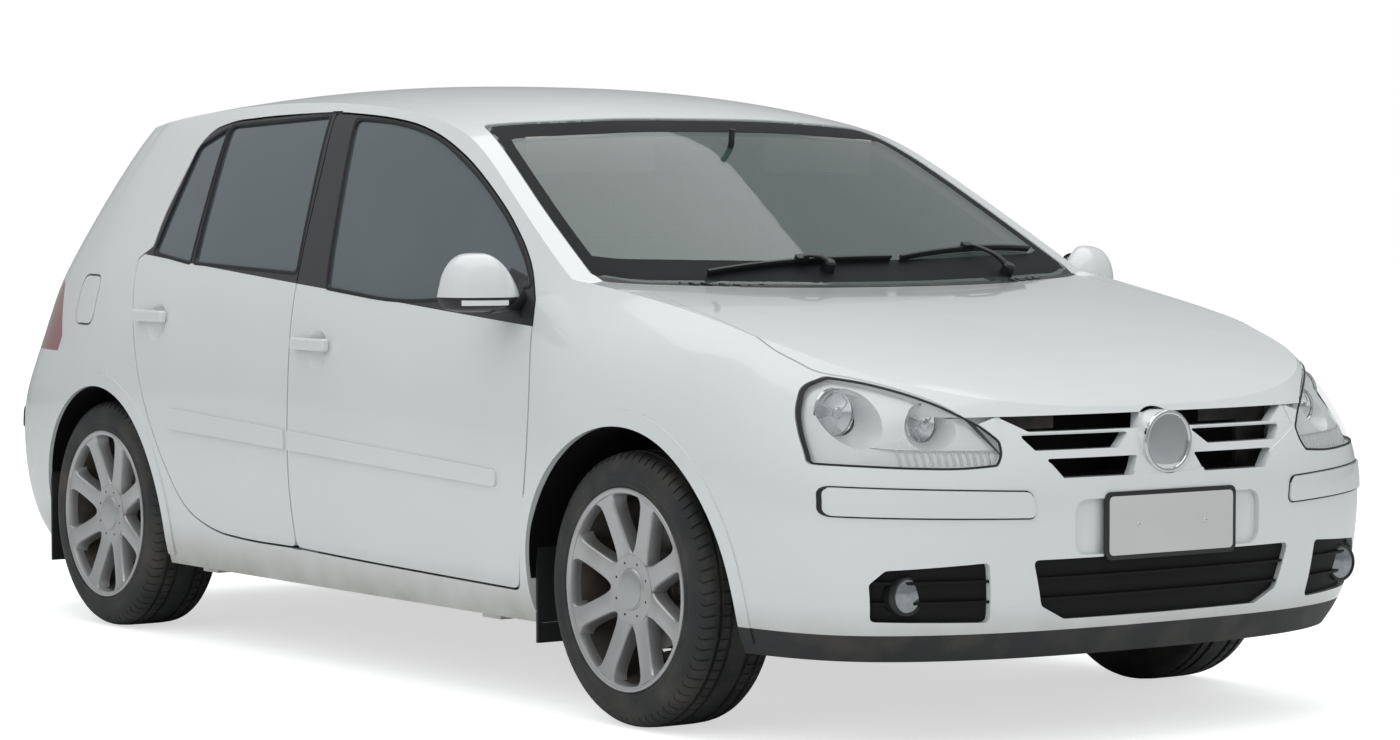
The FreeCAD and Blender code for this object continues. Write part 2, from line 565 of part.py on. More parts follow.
seal_outline = [(x - 24, z, None) for x, z, y, k in B_LINE[1:]] + [(x - 12, z, None) for x, z, y, k in reversed(B_LINE[1:])]
seal_twin = [(x + 12, z, None) for x, z, y, k in B_LINE[1:]] + [(x + 24, z, None) for x, z, y, k in reversed(B_LINE[1:])]
seals = seal_face.cut(pillar_face).common(side_prism(seal_outline).fuse(side_prism(seal_twin)))
rear_flare = tube(REAR_ARCH_R + FLARE_WIDTH, rear_hub_x, 310, -1000, -615)
rear_flare = rear_flare.common(raised(box(-1800, -900, -950, -700, 230, 740), FLARE_LIFT)).cut(rear_opening)
jack_pads = [box(x - 40, x + 40, -825, -775, JACK_PAD_LOW, GROUND_LINE + 1) for x in JACK_STATIONS]
side_frame = side_frame.fuse([pillar, seals, rear_flare.cut(rear_bumper_area)] + jack_pads)
rear_gap = box(-2300, -1800, -600, 600, 100, 654)
side_frame = side_frame.cut([screen_cut, roof_area, tailgate_open, front_arch, rear_arch, cowl_area, rear_gap])
frame_left = solids(mirrored(side_frame))
flap_shell = skin.cut(body_volume(10, 10, 10)).common(box(-1600, -1380, -950, -700, 800, 1050))
buffer_shell = flap_shell.translated(Vector(0, SEAT, 0))
buffer = outer_right.common(tube(6, gx(-1546), gz(915), -900, -700)).cut(buffer_shell).cut(flap_shell)
frame_right = side_frame.cut(flap_hole).fuse(min(buffer.Solids, key=lambda s: -s.CenterOfMass.y))
frame_right = solids(frame_right)
add("fuel_flap", solids(flap_shell.common(plug(FUEL_FLAP, "y", -1000, -700, -GAP))))
add("side_frame_left", frame_left)
add("side_frame_right", frame_right)

roof = outer_layer.fuse(inner_layer).common(roof_area).cut(screen_cut)
add("roof_panel", solids(roof))

# Nose: bumper, grilles, lamps
under_4, under_14, under_30 = [body_volume(depth, depth, depth) for depth in (4, 14, 30)]
front_bumper = outer_layer.common(bumper_area.fuse(mirrored(bumper_area)).fuse(box(1985, 2300, -440, 440, 90, 731)))
RIB_LEVELS, RIB_HEIGHT = (334, 379), 6
FOG_Y, FOG_Z = -650, 354
lower_area = plug(LOWER_GRILLE, "x", 1800, 2300, 0)
fog_area = plug(FOG_BOX, "x", 1700, 2300, 0)
lip_cut = box(1300, 2300, -950, 950, 90, 266)
nose_flare = flare.common(bumper_area)
strip = plug(BUMPER_STRIP, "x", 1700, 2300, 0).common(raised(box(1700, 2200, -900, -300, 480, 620), STRIP_LIFT))
front_bumper = front_bumper.fuse([nose_flare, mirrored(nose_flare), strip, mirrored(strip)])
plate_recess = plug(PLATE_RECESS, "x", 1900, 2300, 0).cut(under_14)
slots = [plug(outline, "x", 1900, 2300, 0) for outline in GRILLE_SLOTS]
slots += [mirrored(slot) for slot in slots]
boss_seat = Part.makeCylinder(BADGE_RADIUS + SEAT, 400, Vector(1900, 0, gz(BADGE_Z)), Vector(1, 0, 0))
bumper_cuts = [plate_recess, grille_area, lower_area, boss_seat] + slots
for area in (lamp_area, fog_area, front_arch):
    bumper_cuts += [area, mirrored(area)]
front_bumper = front_bumper.cut(bumper_cuts)
lip = front_bumper.common(lip_cut)
add("front_bumper", solids(front_bumper.cut(lip_cut)))
add("front_lip", solids(lip))
grille_body = under_4.common(box(1900, 2200, -560, 560, 250, 735)).cut(under_30)
boss = Part.makeCylinder(BADGE_RADIUS, 48, Vector(half_length - 62, 0, gz(BADGE_Z)), Vector(1, 0, 0))
grille = grille_body.common(grille_area).cut(slots)
add("upper_grille", solids(grille.fuse(boss)))
insert_body = under_14.common(box(1700, 2200, -900, 900, 250, 500)).cut(under_30)
insert_area = lower_area.fuse([fog_area, mirrored(fog_area)])
inserts = insert_body.common(insert_area)
rib_boxes = [box(1700, 2200, -900, 900, z, z + RIB_HEIGHT) for z in RIB_LEVELS]
ribs = under_4.common(Part.makeCompound(rib_boxes)).cut(under_14).common(insert_area)
fog_lamp = Part.makeCylinder(42, 62, at(1920, FOG_Y, FOG_Z), Vector(1, 0, 0))
add("lower_grille", solids(inserts.fuse(ribs.Solids + [fog_lamp, mirrored(fog_lamp)])))
lamp_block = skin.common(lamp_area).cut(outer_layer.common(bonnet_cut).common(box(1400, 2200, -900, 900, 731, 1200)))
lens = lamp_block.cut(under_4)
housing = lamp_block.common(under_14).cut(body_volume(95, 95, 95))
# Two round reflectors, each at the foot of a funnel that widens to the lens: centre, radius, then the mouth
REFLECTORS = [
    (1785, -701, 742, 52, 22, 1945, -728, 738, 64, 78), (1920, -567, 720, 41, 18, 2010, -610, 720, 92, 62),
]
for x, y, z, radius, dish, mouth_x, mouth_y, mouth_z, across, tall in REFLECTORS:
    foot = Part.makeCircle(radius, at(x, y, z), Vector(1, 0, 0))
    rim = Part.makeCircle(1, Vector(0, 0, 0), Vector(1, 0, 0))
    stretch = FreeCAD.Matrix()
    stretch.scale(1, across, tall)
    rim = rim.transformGeometry(stretch).translated(at(mouth_x, mouth_y, mouth_z))
    funnel = Part.makeLoft([Part.Wire([foot]), Part.Wire(rim.Edges)], True, True)
    ball_radius = (radius ** 2 + dish ** 2) / (2 * dish)
    ball = Part.makeSphere(ball_radius, at(x - dish, y, z) + Vector(ball_radius, 0, 0))
    ball = ball.common(box(x - dish - 1, x + 0.5, y - 80, y + 80, z - 80, z + 80))
    housing = housing.cut([funnel, ball])
add("headlamps", both(solids(housing)))
add("headlamp_lenses", both(solids(lens)))

# Tail: bumper, lamps, tailgate, panel behind the bumper
rear_bumper = outer_layer.common(box(-2300, -1560, -950, 950, 90, 652)).common(
    rear_bumper_area.fuse(mirrored(rear_bumper_area)).fuse(box(-2300, -1900, -260, 260, 90, 652)))
tail_strip = plug(BUMPER_STRIP, "x", -2300, -1700, 0).common(raised(box(-2200, -1700, -900, -300, 480, 620), STRIP_LIFT))
tail_flare = rear_flare.common(rear_bumper_area)
rear_bumper = rear_bumper.fuse([tail_strip, mirrored(tail_strip), tail_flare, mirrored(tail_flare)])
rear_bumper = rear_bumper.cut([rear_arch, mirrored(rear_arch)])
add("rear_bumper", solids(rear_bumper))
tail_lamp = outer_right.common(tail_lamp_area).cut(tailgate_open)
add("tail_lamps", both(solids(tail_lamp)))
rear_panel = inner_layer.common(box(-2102, -1900, -600, 600, GROUND_LINE, 646))
rear_seal = box(-2016, -2004, -500, 500, 640, 656 + GAP - SEAT)
add("rear_panel", solids(rear_panel.fuse(rear_seal)))
whole = skin.cut(cabin_void).common(box(-2102, -1500, -950, 950, 500, 1700))
tailgate = whole.common(tailgate_area)
rear_sheet = tub(6, 6).common(box(-2102, -1500, -900, 900, 1000, 1450)).cut(tub(11, 11))
rear_pane = rear_sheet.common(plug(REAR_GLASS, "x", -2300, -1500, 8))
rear_pane = max(rear_pane.Solids, key=lambda solid: -abs(solid.CenterOfMass.x + 1830))
tailgate = tailgate.cut(plug(REAR_GLASS, "x", -2300, -1500, 0)).cut(rear_pane)
add("tailgate", solids(tailgate))
add("tailgate_glass", solids(rear_pane))


STATION = {
    "front_hub": "Size.overall_length / 2 - Size.front_overhang",
    "rear_hub": "Size.overall_length / 2 - Size.front_overhang - Size.wheelbase",
}
STATION_VALUE = {"front_hub": front_hub_x, "rear_hub": rear_hub_x}


def bound(value):
    """A number and the spreadsheet expression behind it; a pair is a named size and what is added to it."""
    if not isinstance(value, tuple):
        return value, None
    name, extra = value
    if name in STATION:
        return STATION_VALUE[name] + extra, f"{STATION[name]} + ({extra})"
    return size(name) + extra, f"Size.{name} + ({extra})"


def new_body(name):
    made = doc.addObject("PartDesign::Body", name)
    made.Label = name
    return made


def draw(owner, plane, loops, start=0):
    """Sketch on an origin plane of the body, moved along the plane's normal; every corner is held in place."""
    sketch = owner.newObject("Sketcher::SketchObject", f"{owner.Name}Sketch")
    plane_object = [f for f in owner.Origin.OriginFeatures if f.Role == f"{plane}_Plane"][0]
    sketch.AttachmentSupport = (plane_object, [""])
    sketch.MapMode = "FlatFace"
    number, formula = bound(start)
    sketch.AttachmentOffset = FreeCAD.Placement(Vector(0, 0, number), FreeCAD.Rotation())
    if formula:
        sketch.setExpression("AttachmentOffset.Base.z", formula)
    for loop in loops:
        if loop[0] == "circle":
            hold_circle(sketch, loop[1], loop[2], loop[3])
        else:
            hold_polygon(sketch, loop)
    return sketch


def hold_point(sketch, index, place, x, y):
    for kind, value, axis in (("DistanceX", x, -2), ("DistanceY", y, -1)):
        number, formula = bound(value)
        if number == 0 and not formula:
            sketch.addConstraint(Sketcher.Constraint("PointOnObject", index, place, axis))
            continue
        made = sketch.addConstraint(Sketcher.Constraint(kind, -1, 1, index, place, number))
        if formula:
            sketch.setExpression(f"Constraints[{made}]", formula)


def hold_circle(sketch, x, y, radius):
    centre = Vector(bound(x)[0], bound(y)[0], 0)
    number, formula = bound(radius)
    index = sketch.addGeometry(Part.Circle(centre, Vector(0, 0, 1), number))
    hold_point(sketch, index, 3, x, y)
    made = sketch.addConstraint(Sketcher.Constraint("Radius", index, number))
    if formula:
        sketch.setExpression(f"Constraints[{made}]", formula)


def hold_polygon(sketch, corners):
    points = [Vector(bound(x)[0], bound(y)[0], 0) for x, y in corners]
    first = None
    for index, point in enumerate(points):
        line = sketch.addGeometry(Part.LineSegment(point, points[(index + 1) % len(points)]))
        first = line if first is None else first
        if line > first:
            sketch.addConstraint(Sketcher.Constraint("Coincident", line - 1, 2, line, 1))
    sketch.addConstraint(Sketcher.Constraint("Coincident", first + len(points) - 1, 2, first, 1))
    for index, (x, y) in enumerate(corners):
        hold_point(sketch, first + index, 1, x, y)


def pad(owner, plane, loops, start, end):
    """Pad between two distances from an origin plane. The XZ plane faces the right-hand side of the car."""
    if plane == "XZ":
        start_number, end_number = bound(start)[0], bound(end)[0]
        sketch = draw(owner, plane, loops, -max(start_number, end_number))
    else:
        start_number, end_number = bound(start)[0], bound(end)[0]
        sketch = draw(owner, plane, loops, min(start_number, end_number))
    made = owner.newObject("PartDesign::Pad", f"{owner.Name}Pad")
    made.Profile = sketch
    made.Length = abs(end_number - start_number)
    return made


def revolve(owner, loops):
    """Turns a half section, drawn as radius and distance along the hub, about the hub's own axis."""
    sketch = draw(owner, "XY", loops)
    made = owner.newObject("PartDesign::Revolution", f"{owner.Name}Revolution")
    made.Profile = sketch
    made.ReferenceAxis = (sketch, ["V_Axis"])
    made.Angle = 360
    return made


def stand_at_hub(owner, station, half_track, side):
    """Puts a piece drawn about a right-hand hub at its own hub; the left-hand one is turned half round."""
    turn = FreeCAD.Rotation(Vector(0, 0, 1), 0 if side < 0 else 180)
    owner.Placement = FreeCAD.Placement(Vector(STATION_VALUE[station], side * size(half_track), size("tyre_radius")), turn)
    owner.setExpression("Placement.Base.x", STATION[station])
    owner.setExpression("Placement.Base.y", f"{side} * Size.{half_track}")
    owner.setExpression("Placement.Base.z", "Size.tyre_radius")


def box_loop(x0, x1, y0, y1):
    return [(x0, y0), (x1, y0), (x1, y1), (x0, y1)]


WHEELS = [
    ("front_right", "front_hub", "front_half_track", -1), ("front_left", "front_hub", "front_half_track", 1),
    ("rear_right", "rear_hub", "rear_half_track", -1), ("rear_left", "rear_hub", "rear_half_track", 1),
]
STUB_RADIUS = 22
SPOKES = 8


def make_tyre(name, station, half_track, side):
    tyre = new_body(f"tyre_{name}")
    section = [
        (("rim_radius", -11), -95), (("rim_radius", 1), -101), (("tyre_radius", -56), -110), (("tyre_radius", -26), -107),
        (("tyre_radius", -7), -96), (("tyre_radius", 0), -74), (("tyre_radius", 0), 74), (("tyre_radius", -7), 96),
        (("tyre_radius", -26), 107), (("tyre_radius", -56), 110), (("rim_radius", 1), 101), (("rim_radius", -11), 95),
    ]
    revolve(tyre, [section])
    stand_at_hub(tyre, station, half_track, side)


def make_wheel(name, station, half_track, side):
    wheel = new_body(f"wheel_{name}")
    hub = [
        (STUB_RADIUS + 0.1, 14), (STUB_RADIUS + 0.1, -46), (0, -46), (0, -86), (30, -90), (70, -84), (78, -70), (72, -46),
        (72, -10), (("disc_radius", 0), -10), (("disc_radius", 0), 14),
    ]
    revolve(wheel, [hub])
    spoke = [(-26, 60), (-17, 130), (-24, ("rim_radius", -22)), (24, ("rim_radius", -22)), (17, 130), (26, 60)]
    first = pad(wheel, "XZ", [spoke], -58, -90)
    pattern = wheel.newObject("PartDesign::PolarPattern", f"{wheel.Name}Spokes")
    pattern.Originals = [first]
    axis = [f for f in wheel.Origin.OriginFeatures if f.Role == "Y_Axis"][0]
    pattern.Axis = (axis, [""])
    pattern.Angle = 360
    pattern.Occurrences = SPOKES
    wheel.Tip = pattern
    barrel = [
        (("rim_radius", 0), -108), (("rim_radius", 0), -101), (("rim_radius", -11), -96), (("rim_radius", -11), 96),
        (("rim_radius", -3), 101), (("rim_radius", -3), 108), (("rim_radius", -19), 108), (("rim_radius", -27), 60),
        (("rim_radius", -27), -60), (("rim_radius", -24), -92), (("rim_radius", -10), -108),
    ]
    revolve(wheel, [barrel])
    stand_at_hub(wheel, station, half_track, side)


def make_knuckle(name, station, half_track, side):
    """Steered hub carrier: plate, stub axle, lower ball pin, steering arm and brake caliper."""
    knuckle = new_body(f"knuckle_{name}")
    pad(knuckle, "XZ", [[(-34, -122), (34, -122), (48, -10), (30, 140), (-30, 140), (-48, -10)]], 58, 30)
    pad(knuckle, "XZ", [("circle", 0, 0, STUB_RADIUS)], 40, -44)
    pad(knuckle, "XY", [("circle", 0, ("kingpin_inset", 0), 11)], ("arm_drop", 0), -110)
    pad(knuckle, "XZ", [box_loop(-160, -40, -46, 46)], 46, 20)
    pad(knuckle, "XZ", [box_loop(-162, -146, -46, 46)], 46, -30)
    pad(knuckle, "XZ", [box_loop(-162, -96, -46, 46)], -16, -30)
    pad(knuckle, "XZ", [[(-48, -70), (-48, -40), (-130, -62), (-130, -84)]], 58, 40)
    stand_at_hub(knuckle, station, half_track, side)


for wheel_place in WHEELS:
    make_tyre(*wheel_place)
    make_wheel(*wheel_place)
for wheel_place in WHEELS[:2]:
    make_knuckle(*wheel_place)


def make_front_suspension():
    """Subframe, lower arms, struts with their springs and the steering rack, about the front hub line."""
    carrier = new_body("front_suspension")
    pad(carrier, "XY", [box_loop(-150, 60, -455, 455)], 190, 235)
    pad(carrier, "XY", [box_loop(-60, 20, -455, -400), box_loop(-60, 20, 400, 455)], 200, 440)
    arms = []
    for side in (-1, 1):
        arms.append([(-18, side * 740), (18, side * 740), (60, side * 340), (-150, side * 340)])
    for arm in arms:
        pad(carrier, "XY", [arm], 150, 166.7)
    pad(carrier, "XY", [box_loop(-150, 60, -360, -330), box_loop(-150, 60, 330, 360)], 150, 195)
    for side in (-1, 1):
        pad(carrier, "XY", [("circle", 0, side * 572, 24)], 160, 689.8)
        pad(carrier, "XY", [("circle", 0, side * 572, 46)], 400, 408)
        pad(carrier, "XY", [("circle", 0, side * 572, 46)], 640, 648)
    carrier.Placement = FreeCAD.Placement(Vector(front_hub_x, 0, 0), FreeCAD.Rotation())
    carrier.setExpression("Placement.Base.x", STATION["front_hub"])


make_front_suspension()


def make_rear_axle():
    """Subframe, trailing arms, hub carriers with stub axles and calipers, about the rear hub line."""
    axle = new_body("rear_axle")
    pad(axle, "XY", [box_loop(-60, 80, -430, 430)], 250, 300)
    for side in (-1, 1):
        track = side * size("rear_half_track")
        pad(axle, "XY", [box_loop(-30, 30, side * 420, track - side * 44)], 262, 292)
        plate = [(-48, 190), (48, 190), (52, 317), (40, 430), (-40, 430), (-52, 317)]
        pad(axle, "XZ", [plate], track - side * 30, track - side * 58)
        pad(axle, "XZ", [("circle", 0, ("tyre_radius", 0), STUB_RADIUS)], track - side * 40, track + side * 44)
        pad(axle, "XZ", [box_loop(146, 162, 271, 363)], track - side * 46, track + side * 30)
        pad(axle, "XZ", [box_loop(40, 160, 271, 363)], track - side * 46, track - side * 20)
        pad(axle, "XZ", [box_loop(96, 162, 271, 363)], track + side * 16, track + side * 30)
        pad(axle, "XY", [box_loop(20, 60, side * 560, side * 600)], 178, 292)
        pad(axle, "XY", [box_loop(20, 420, side * 560, side * 600)], 178, 210)
        pad(axle, "XY", [box_loop(-40, 60, side * 370, side * 430)], 290, 340)
    axle.Placement = FreeCAD.Placement(Vector(rear_hub_x, 0, 0), FreeCAD.Rotation())
    axle.setExpression("Placement.Base.x", STATION["rear_hub"])


make_rear_axle()

# Floor, firewall, rails, front cross member and slam panel inside the walls
void_low = cabin_void.common(box(-2022, 905, -900, 900, GROUND_LINE, 1000))
floor = void_low.common(box(-1100, 905, -900, 900, 210, 240))
boot_floor = void_low.common(box(-2000, -1080, -900, 900, 340, 360))
riser = void_low.common(box(-1100, -1080, -900, 900, 210, 360))
firewall = void_low.common(box(880, 905, -900, 900, 210, 985))
beam = middle.common(box(2020, 2110, -540, 540, 440, 520))
rails = [box(890, 2030, s * 400, s * 455, 440, 500) for s in (-1, 1)]
slam = seal_face.common(box(1895, 1955, -425, 425, 700, 900))
posts = [box(1895, 1955, s * 335, s * 425, 440, 705) for s in (-1, 1)]
underbody = floor.fuse([boot_floor, riser, firewall, beam, slam] + rails + posts)
front_tub = tube(FRONT_ARCH_R + 6, front_hub_x - 5, 298, -1000, -465)
rear_tub = tube(REAR_ARCH_R + 6, rear_hub_x, 310, -1000, -615)
underbody = underbody.cut([rear_tub, mirrored(rear_tub), front_tub, mirrored(front_tub)])
add("underbody", solids(underbody))

# Exhaust: silencer behind the rear axle, hung from the boot floor, with a pipe to the engine and a tailpipe
PIPE_RADIUS, PIPE_Y, PIPE_Z, TAILPIPE_Y = 22, 150, 176, 430
silencer = box(-1885, -1725, 90, 560, 154, 296)
silencer = silencer.makeFillet(45, [e for e in silencer.Edges if e.BoundBox.YLength > 300])
hanger = box(-1815, -1795, 300, 330, 280, 339.7)
front_pipe = Part.makeCylinder(PIPE_RADIUS, gx(1022) - gx(-1800), at(-1800, PIPE_Y, PIPE_Z), Vector(1, 0, 0))
bend = Part.makeSphere(PIPE_RADIUS, at(1022, PIPE_Y, PIPE_Z))
riser = Part.makeCylinder(PIPE_RADIUS, 230, at(1022, PIPE_Y, PIPE_Z), Vector(0, 0, 1))
tailpipe = Part.makeCylinder(PIPE_RADIUS, 308, at(-1800, TAILPIPE_Y, PIPE_Z), Vector(-1, 0, 0))
tailpipe = tailpipe.cut(Part.makeCylinder(PIPE_RADIUS - 3, 60, at(-2120, TAILPIPE_Y, PIPE_Z), Vector(1, 0, 0)))
add("exhaust", solids(silencer.fuse([hanger, front_pipe, bend, riser, tailpipe])))

# Wheel house liners with their mud flaps
def liner(centre_x, centre_z, radius, inner_y, flap_x):
    shell = tube(radius + 5, centre_x, centre_z, -870, inner_y).cut(tube(radius + 1, centre_x, centre_z, -1000, 0))
    shell = shell.common(box(centre_x - 600, centre_x + 600, -900, -300, 300, 900)).common(middle)
    flap = box(flap_x - 8, flap_x, -845, -640, 158, 420)
    return shell.fuse(flap).cut([side_frame, fender, rear_bumper, underbody])


liners = [liner(front_hub_x - 5, 298, FRONT_ARCH_R, -480, 834), liner(rear_hub_x, 310, REAR_ARCH_R, -630, -1708)]
add("wheel_liners", Part.makeCompound([s for made in liners for s in both(made).Solids]))


def make_block(name, plane, loops, start, end):
    block = new_body(name)
    pad(block, plane, loops, start, end)
    return block


engine = make_block("engine_block", "XZ", [[(-180, 235), (140, 235), (190, 500), (170, 780), (-150, 800), (-190, 500)]], 330, -330)
engine.Placement = FreeCAD.Placement(Vector(front_hub_x + 20, 0, 0), FreeCAD.Rotation())
engine.setExpression("Placement.Base.x", STATION["front_hub"] + " + 20")
make_block("radiator", "YZ", [box_loop(-335, 335, 260, 700)], 1890, 1930)
seat_side = [(230, 240), (-170, 240), (-300, 420), (-462, 1090), (-378, 1110), (-170, 520), (200, 470), (270, 430)]
head_side = [(-482, 1130), (-402, 1130), (-404, 1286), (-474, 1292)]
post_side = [(-434, 1070), (-420, 1070), (-440, 1150), (-454, 1150)]
for name, middle_y in (("right", -365), ("left", 365)):
    seat = make_block(f"front_seat_{name}", "XZ", [seat_side], middle_y + 245, middle_y - 245)
    pad(seat, "XZ", [post_side], middle_y + 70, middle_y - 70)
    pad(seat, "XZ", [head_side], middle_y + 128, middle_y - 128)
make_block("rear_seat", "XZ", [[
    (-580, 240), (-1070, 240), (-1075, 365), (-1230, 365), (-1330, 1050), (-1230, 1070), (-1060, 520), (-600, 480), (-550, 430),
]], 600, -600)
make_block("dashboard", "XZ", [[
    (880, 985), (700, 975), (560, 930), (540, 840), (620, 700), (700, 560), (880, 560),
]], 700, -700)
steering = new_body("steering_wheel")
revolve(steering, [("circle", 182, 0, 14), [(0, -22), (0, 26), (60, 24), (66, -10), (60, -22)]])
pad(steering, "XZ", [box_loop(-178, 178, -14, 14)], 8, -8)
pad(steering, "XZ", [("circle", 0, 0, 20)], -10, -148.5)
steering.Placement = FreeCAD.Placement(at(400, -365, 900), FreeCAD.Rotation(Vector(0, 0, 1), 90).multiply(FreeCAD.Rotation(Vector(1, 0, 0), 25)))

mirror = Part.makeBox(124, 172, 138, at(686, -1012, 938))
mirror = mirror.makeFillet(46, mirror.Edges)
mirror = mirror.cut(box(600, 722, -1100, -800, 900, 1100))
stalk = box(722, 750, -880, -812, 970, 1000)
for side, turn in (("right", lambda s: s), ("left", mirrored)):
    shell = mirror.fuse(stalk).cut([front_panel, front_pane])
    add(f"mirror_{side}", turn(max(shell.Solids, key=lambda solid: solid.Volume)))

doc.recompute()
nodes = [piece for piece in doc.Objects if piece.TypeId in ("Part::Feature", "PartDesign::Body")]
for piece in doc.Objects:
    if "Invalid" in piece.State or "Error" in piece.State:
        raise RuntimeError(f"{piece.Label} did not recompute")
for piece in nodes:
    if piece.Shape.isNull() or not piece.Shape.isValid():
        raise RuntimeError(f"{piece.Label} has no valid shape")
os.makedirs("parts", exist_ok=True)
for piece in nodes:
    piece.Shape.exportStep(f"parts/{piece.Label}.step")
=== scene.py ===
import bpy
import bmesh
import json
from math import copysign, cos, exp, pi, radians, sin, sqrt
from mathutils import Matrix, Vector
from mathutils.bvhtree import BVHTree


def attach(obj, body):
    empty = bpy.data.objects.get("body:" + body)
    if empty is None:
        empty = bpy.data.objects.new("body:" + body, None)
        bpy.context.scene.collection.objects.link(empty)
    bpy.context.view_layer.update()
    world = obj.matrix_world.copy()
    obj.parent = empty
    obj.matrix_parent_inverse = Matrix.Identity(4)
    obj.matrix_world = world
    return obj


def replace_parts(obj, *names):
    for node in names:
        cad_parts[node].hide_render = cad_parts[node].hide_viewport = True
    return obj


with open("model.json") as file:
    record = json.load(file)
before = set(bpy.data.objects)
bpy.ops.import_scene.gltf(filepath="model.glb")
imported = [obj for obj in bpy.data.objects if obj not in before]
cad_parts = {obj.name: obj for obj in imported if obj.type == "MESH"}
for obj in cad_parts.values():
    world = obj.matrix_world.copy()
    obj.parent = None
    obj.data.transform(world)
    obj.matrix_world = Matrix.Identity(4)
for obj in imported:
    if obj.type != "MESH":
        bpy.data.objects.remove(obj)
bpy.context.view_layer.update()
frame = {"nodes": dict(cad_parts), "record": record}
NODES = frame["nodes"]
SIDES = (("right", -1), ("left", 1))
# Points closer than this are one point
MERGE = 0.00002
AHEAD, LEFT, UP = Vector((1, 0, 0)), Vector((0, 1, 0)), Vector((0, 0, 1))

# Hub centres: station, half track, height
HUBS = {"front": (1.22, 0.758, 0.317), "rear": (-1.358, 0.752, 0.317)}
# Wheel arches: centre station, centre height, radius
ARCHES = {"front": (1.215, 0.298, 0.392), "rear": (-1.358, 0.31, 0.366)}


# Materials

class Web:
    """Node tree of a material or of the world, with short ways to add and join nodes."""

    def __init__(self, owner):
        owner.use_nodes = True
        self.nodes, self.links = owner.node_tree.nodes, owner.node_tree.links

    def put(self, socket, value):
        """Gives a socket a value, or joins it to another node's output."""
        if isinstance(value, bpy.types.NodeSocket):
            self.links.new(value, socket)
        else:
            socket.default_value = value

    def add(self, kind, inputs=(), **settings):
        node = self.nodes.new("ShaderNode" + kind)
        for setting, value in settings.items():
            setattr(node, setting, value)
        for socket, value in dict(inputs).items():
            self.put(node.inputs[socket], value)
        return node

    def mixed(self, share, first, second, kind="RGBA"):
        """Output of a mix of two colours or of two numbers."""
        a, b, result = (6, 7, 2) if kind == "RGBA" else (2, 3, 0)
        return self.add("Mix", {0: share, a: first, b: second}, data_type=kind).outputs[result]

    def product(self, first, second):
        return self.add("Math", {0: first, 1: second}, operation="MULTIPLY").outputs["Value"]


SOCKETS = {"coat": "Coat Weight", "coat_rough": "Coat Roughness", "metal": "Metallic", "ior": "IOR",
           "alpha": "Alpha", "gloss": "Specular IOR Level", "sheen": "Sheen Weight"}


def grain_look(name, colour, rough, shade=0.08, scale=3.0, grain=None, dirt=None, **values):
    """Material whose colour drifts by a share, with grain (strength, fineness) and dirt in soft patches."""
    look = bpy.data.materials.new(name)
    web = Web(look)
    shader = web.nodes["Principled BSDF"].inputs
    for word, value in values.items():
        shader[SOCKETS[word]].default_value = value
    place = web.add("TexCoord").outputs["Object"]

    def noise(size, detail):
        return web.add("TexNoise", {"Scale": size, "Detail": detail, "Vector": place}).outputs["Fac"]

    drift = noise(scale, 5.0)
    ramp = web.add("ValToRGB", {"Fac": drift})
    for stop, position, factor in zip(ramp.color_ramp.elements, (0.3, 0.7), (1 - shade, 1 + 0.4 * shade)):
        stop.position = position
        stop.color = tuple(min(c * factor, 1) for c in colour) + (1,)
    shown = ramp.outputs["Color"]
    if dirt:
        dirt_colour, low, high, top = dirt
        inputs = {"From Min": low, "From Max": high, "To Max": top, "Value": noise(9.0, 8.0)}
        patch = web.add("MapRange", inputs).outputs["Result"]
        shown = web.mixed(patch, shown, dirt_colour + (1,))
    web.put(shader["Base Color"], shown)
    level = web.add("MapRange", {"To Min": 0.75 * rough, "To Max": min(1.25 * rough, 1.0), "Value": drift})
    web.put(shader["Roughness"], level.outputs["Result"])
    if grain:
        strength, fineness = grain
        bump = web.add("Bump", {"Strength": strength, "Distance": 0.001, "Height": noise(fineness, 3.0)})
        web.put(shader["Normal"], bump.outputs["Normal"])
    return look


def weave_look(name, colour, thread=0.0016):
    """Woven cloth: two crossed waves lift the threads."""
    look = grain_look(name, colour, 0.85, shade=0.2, scale=12.0, sheen=0.3)
    web = Web(look)
    place = web.add("TexCoord").outputs["Object"]
    waves = []
    for way in ("X", "Z"):
        inputs = {"Scale": 1 / (thread * 20), "Distortion": 0.6, "Vector": place}
        waves.append(web.add("TexWave", inputs, bands_direction=way).outputs["Fac"])
    bump = web.add("Bump", {"Strength": 0.5, "Distance": 0.0008, "Height": web.product(*waves)})
    web.put(web.nodes["Principled BSDF"].inputs["Normal"], bump.outputs["Normal"])
    return look


ROAD_DUST = (0.3, 0.26, 0.21)
# Brownish colour of the low paint: road splash with painted shade near the ground
SPLASH_AND_LOW_SHADE = (0.33, 0.31, 0.24)
paint = grain_look("white_paint", (0.76, 0.785, 0.79), 0.22, shade=0.03, scale=1.5, grain=(0.03, 900),
                   coat=0.9, coat_rough=0.04, ior=1.5)
under_paint = grain_look("underbody_coat", (0.035, 0.035, 0.037), 0.7, shade=0.3, scale=6, grain=(0.4, 180),
                         dirt=(ROAD_DUST, 0.45, 0.8, 0.4))
black_trim = grain_look("black_trim", (0.016, 0.017, 0.018), 0.34, shade=0.2, grain=(0.05, 700))
lip_plastic = grain_look("lip_plastic", (0.022, 0.023, 0.024), 0.55, shade=0.25, grain=(0.25, 600),
                         dirt=(ROAD_DUST, 0.5, 0.85, 0.18))
rubber = grain_look("seal_rubber", (0.012, 0.012, 0.013), 0.6, shade=0.3, grain=(0.15, 500))
tyre_rubber = grain_look("tyre_rubber", (0.022, 0.023, 0.024), 0.62, shade=0.25, scale=5, grain=(0.35, 260),
                         dirt=(ROAD_DUST, 0.45, 0.9, 0.22))
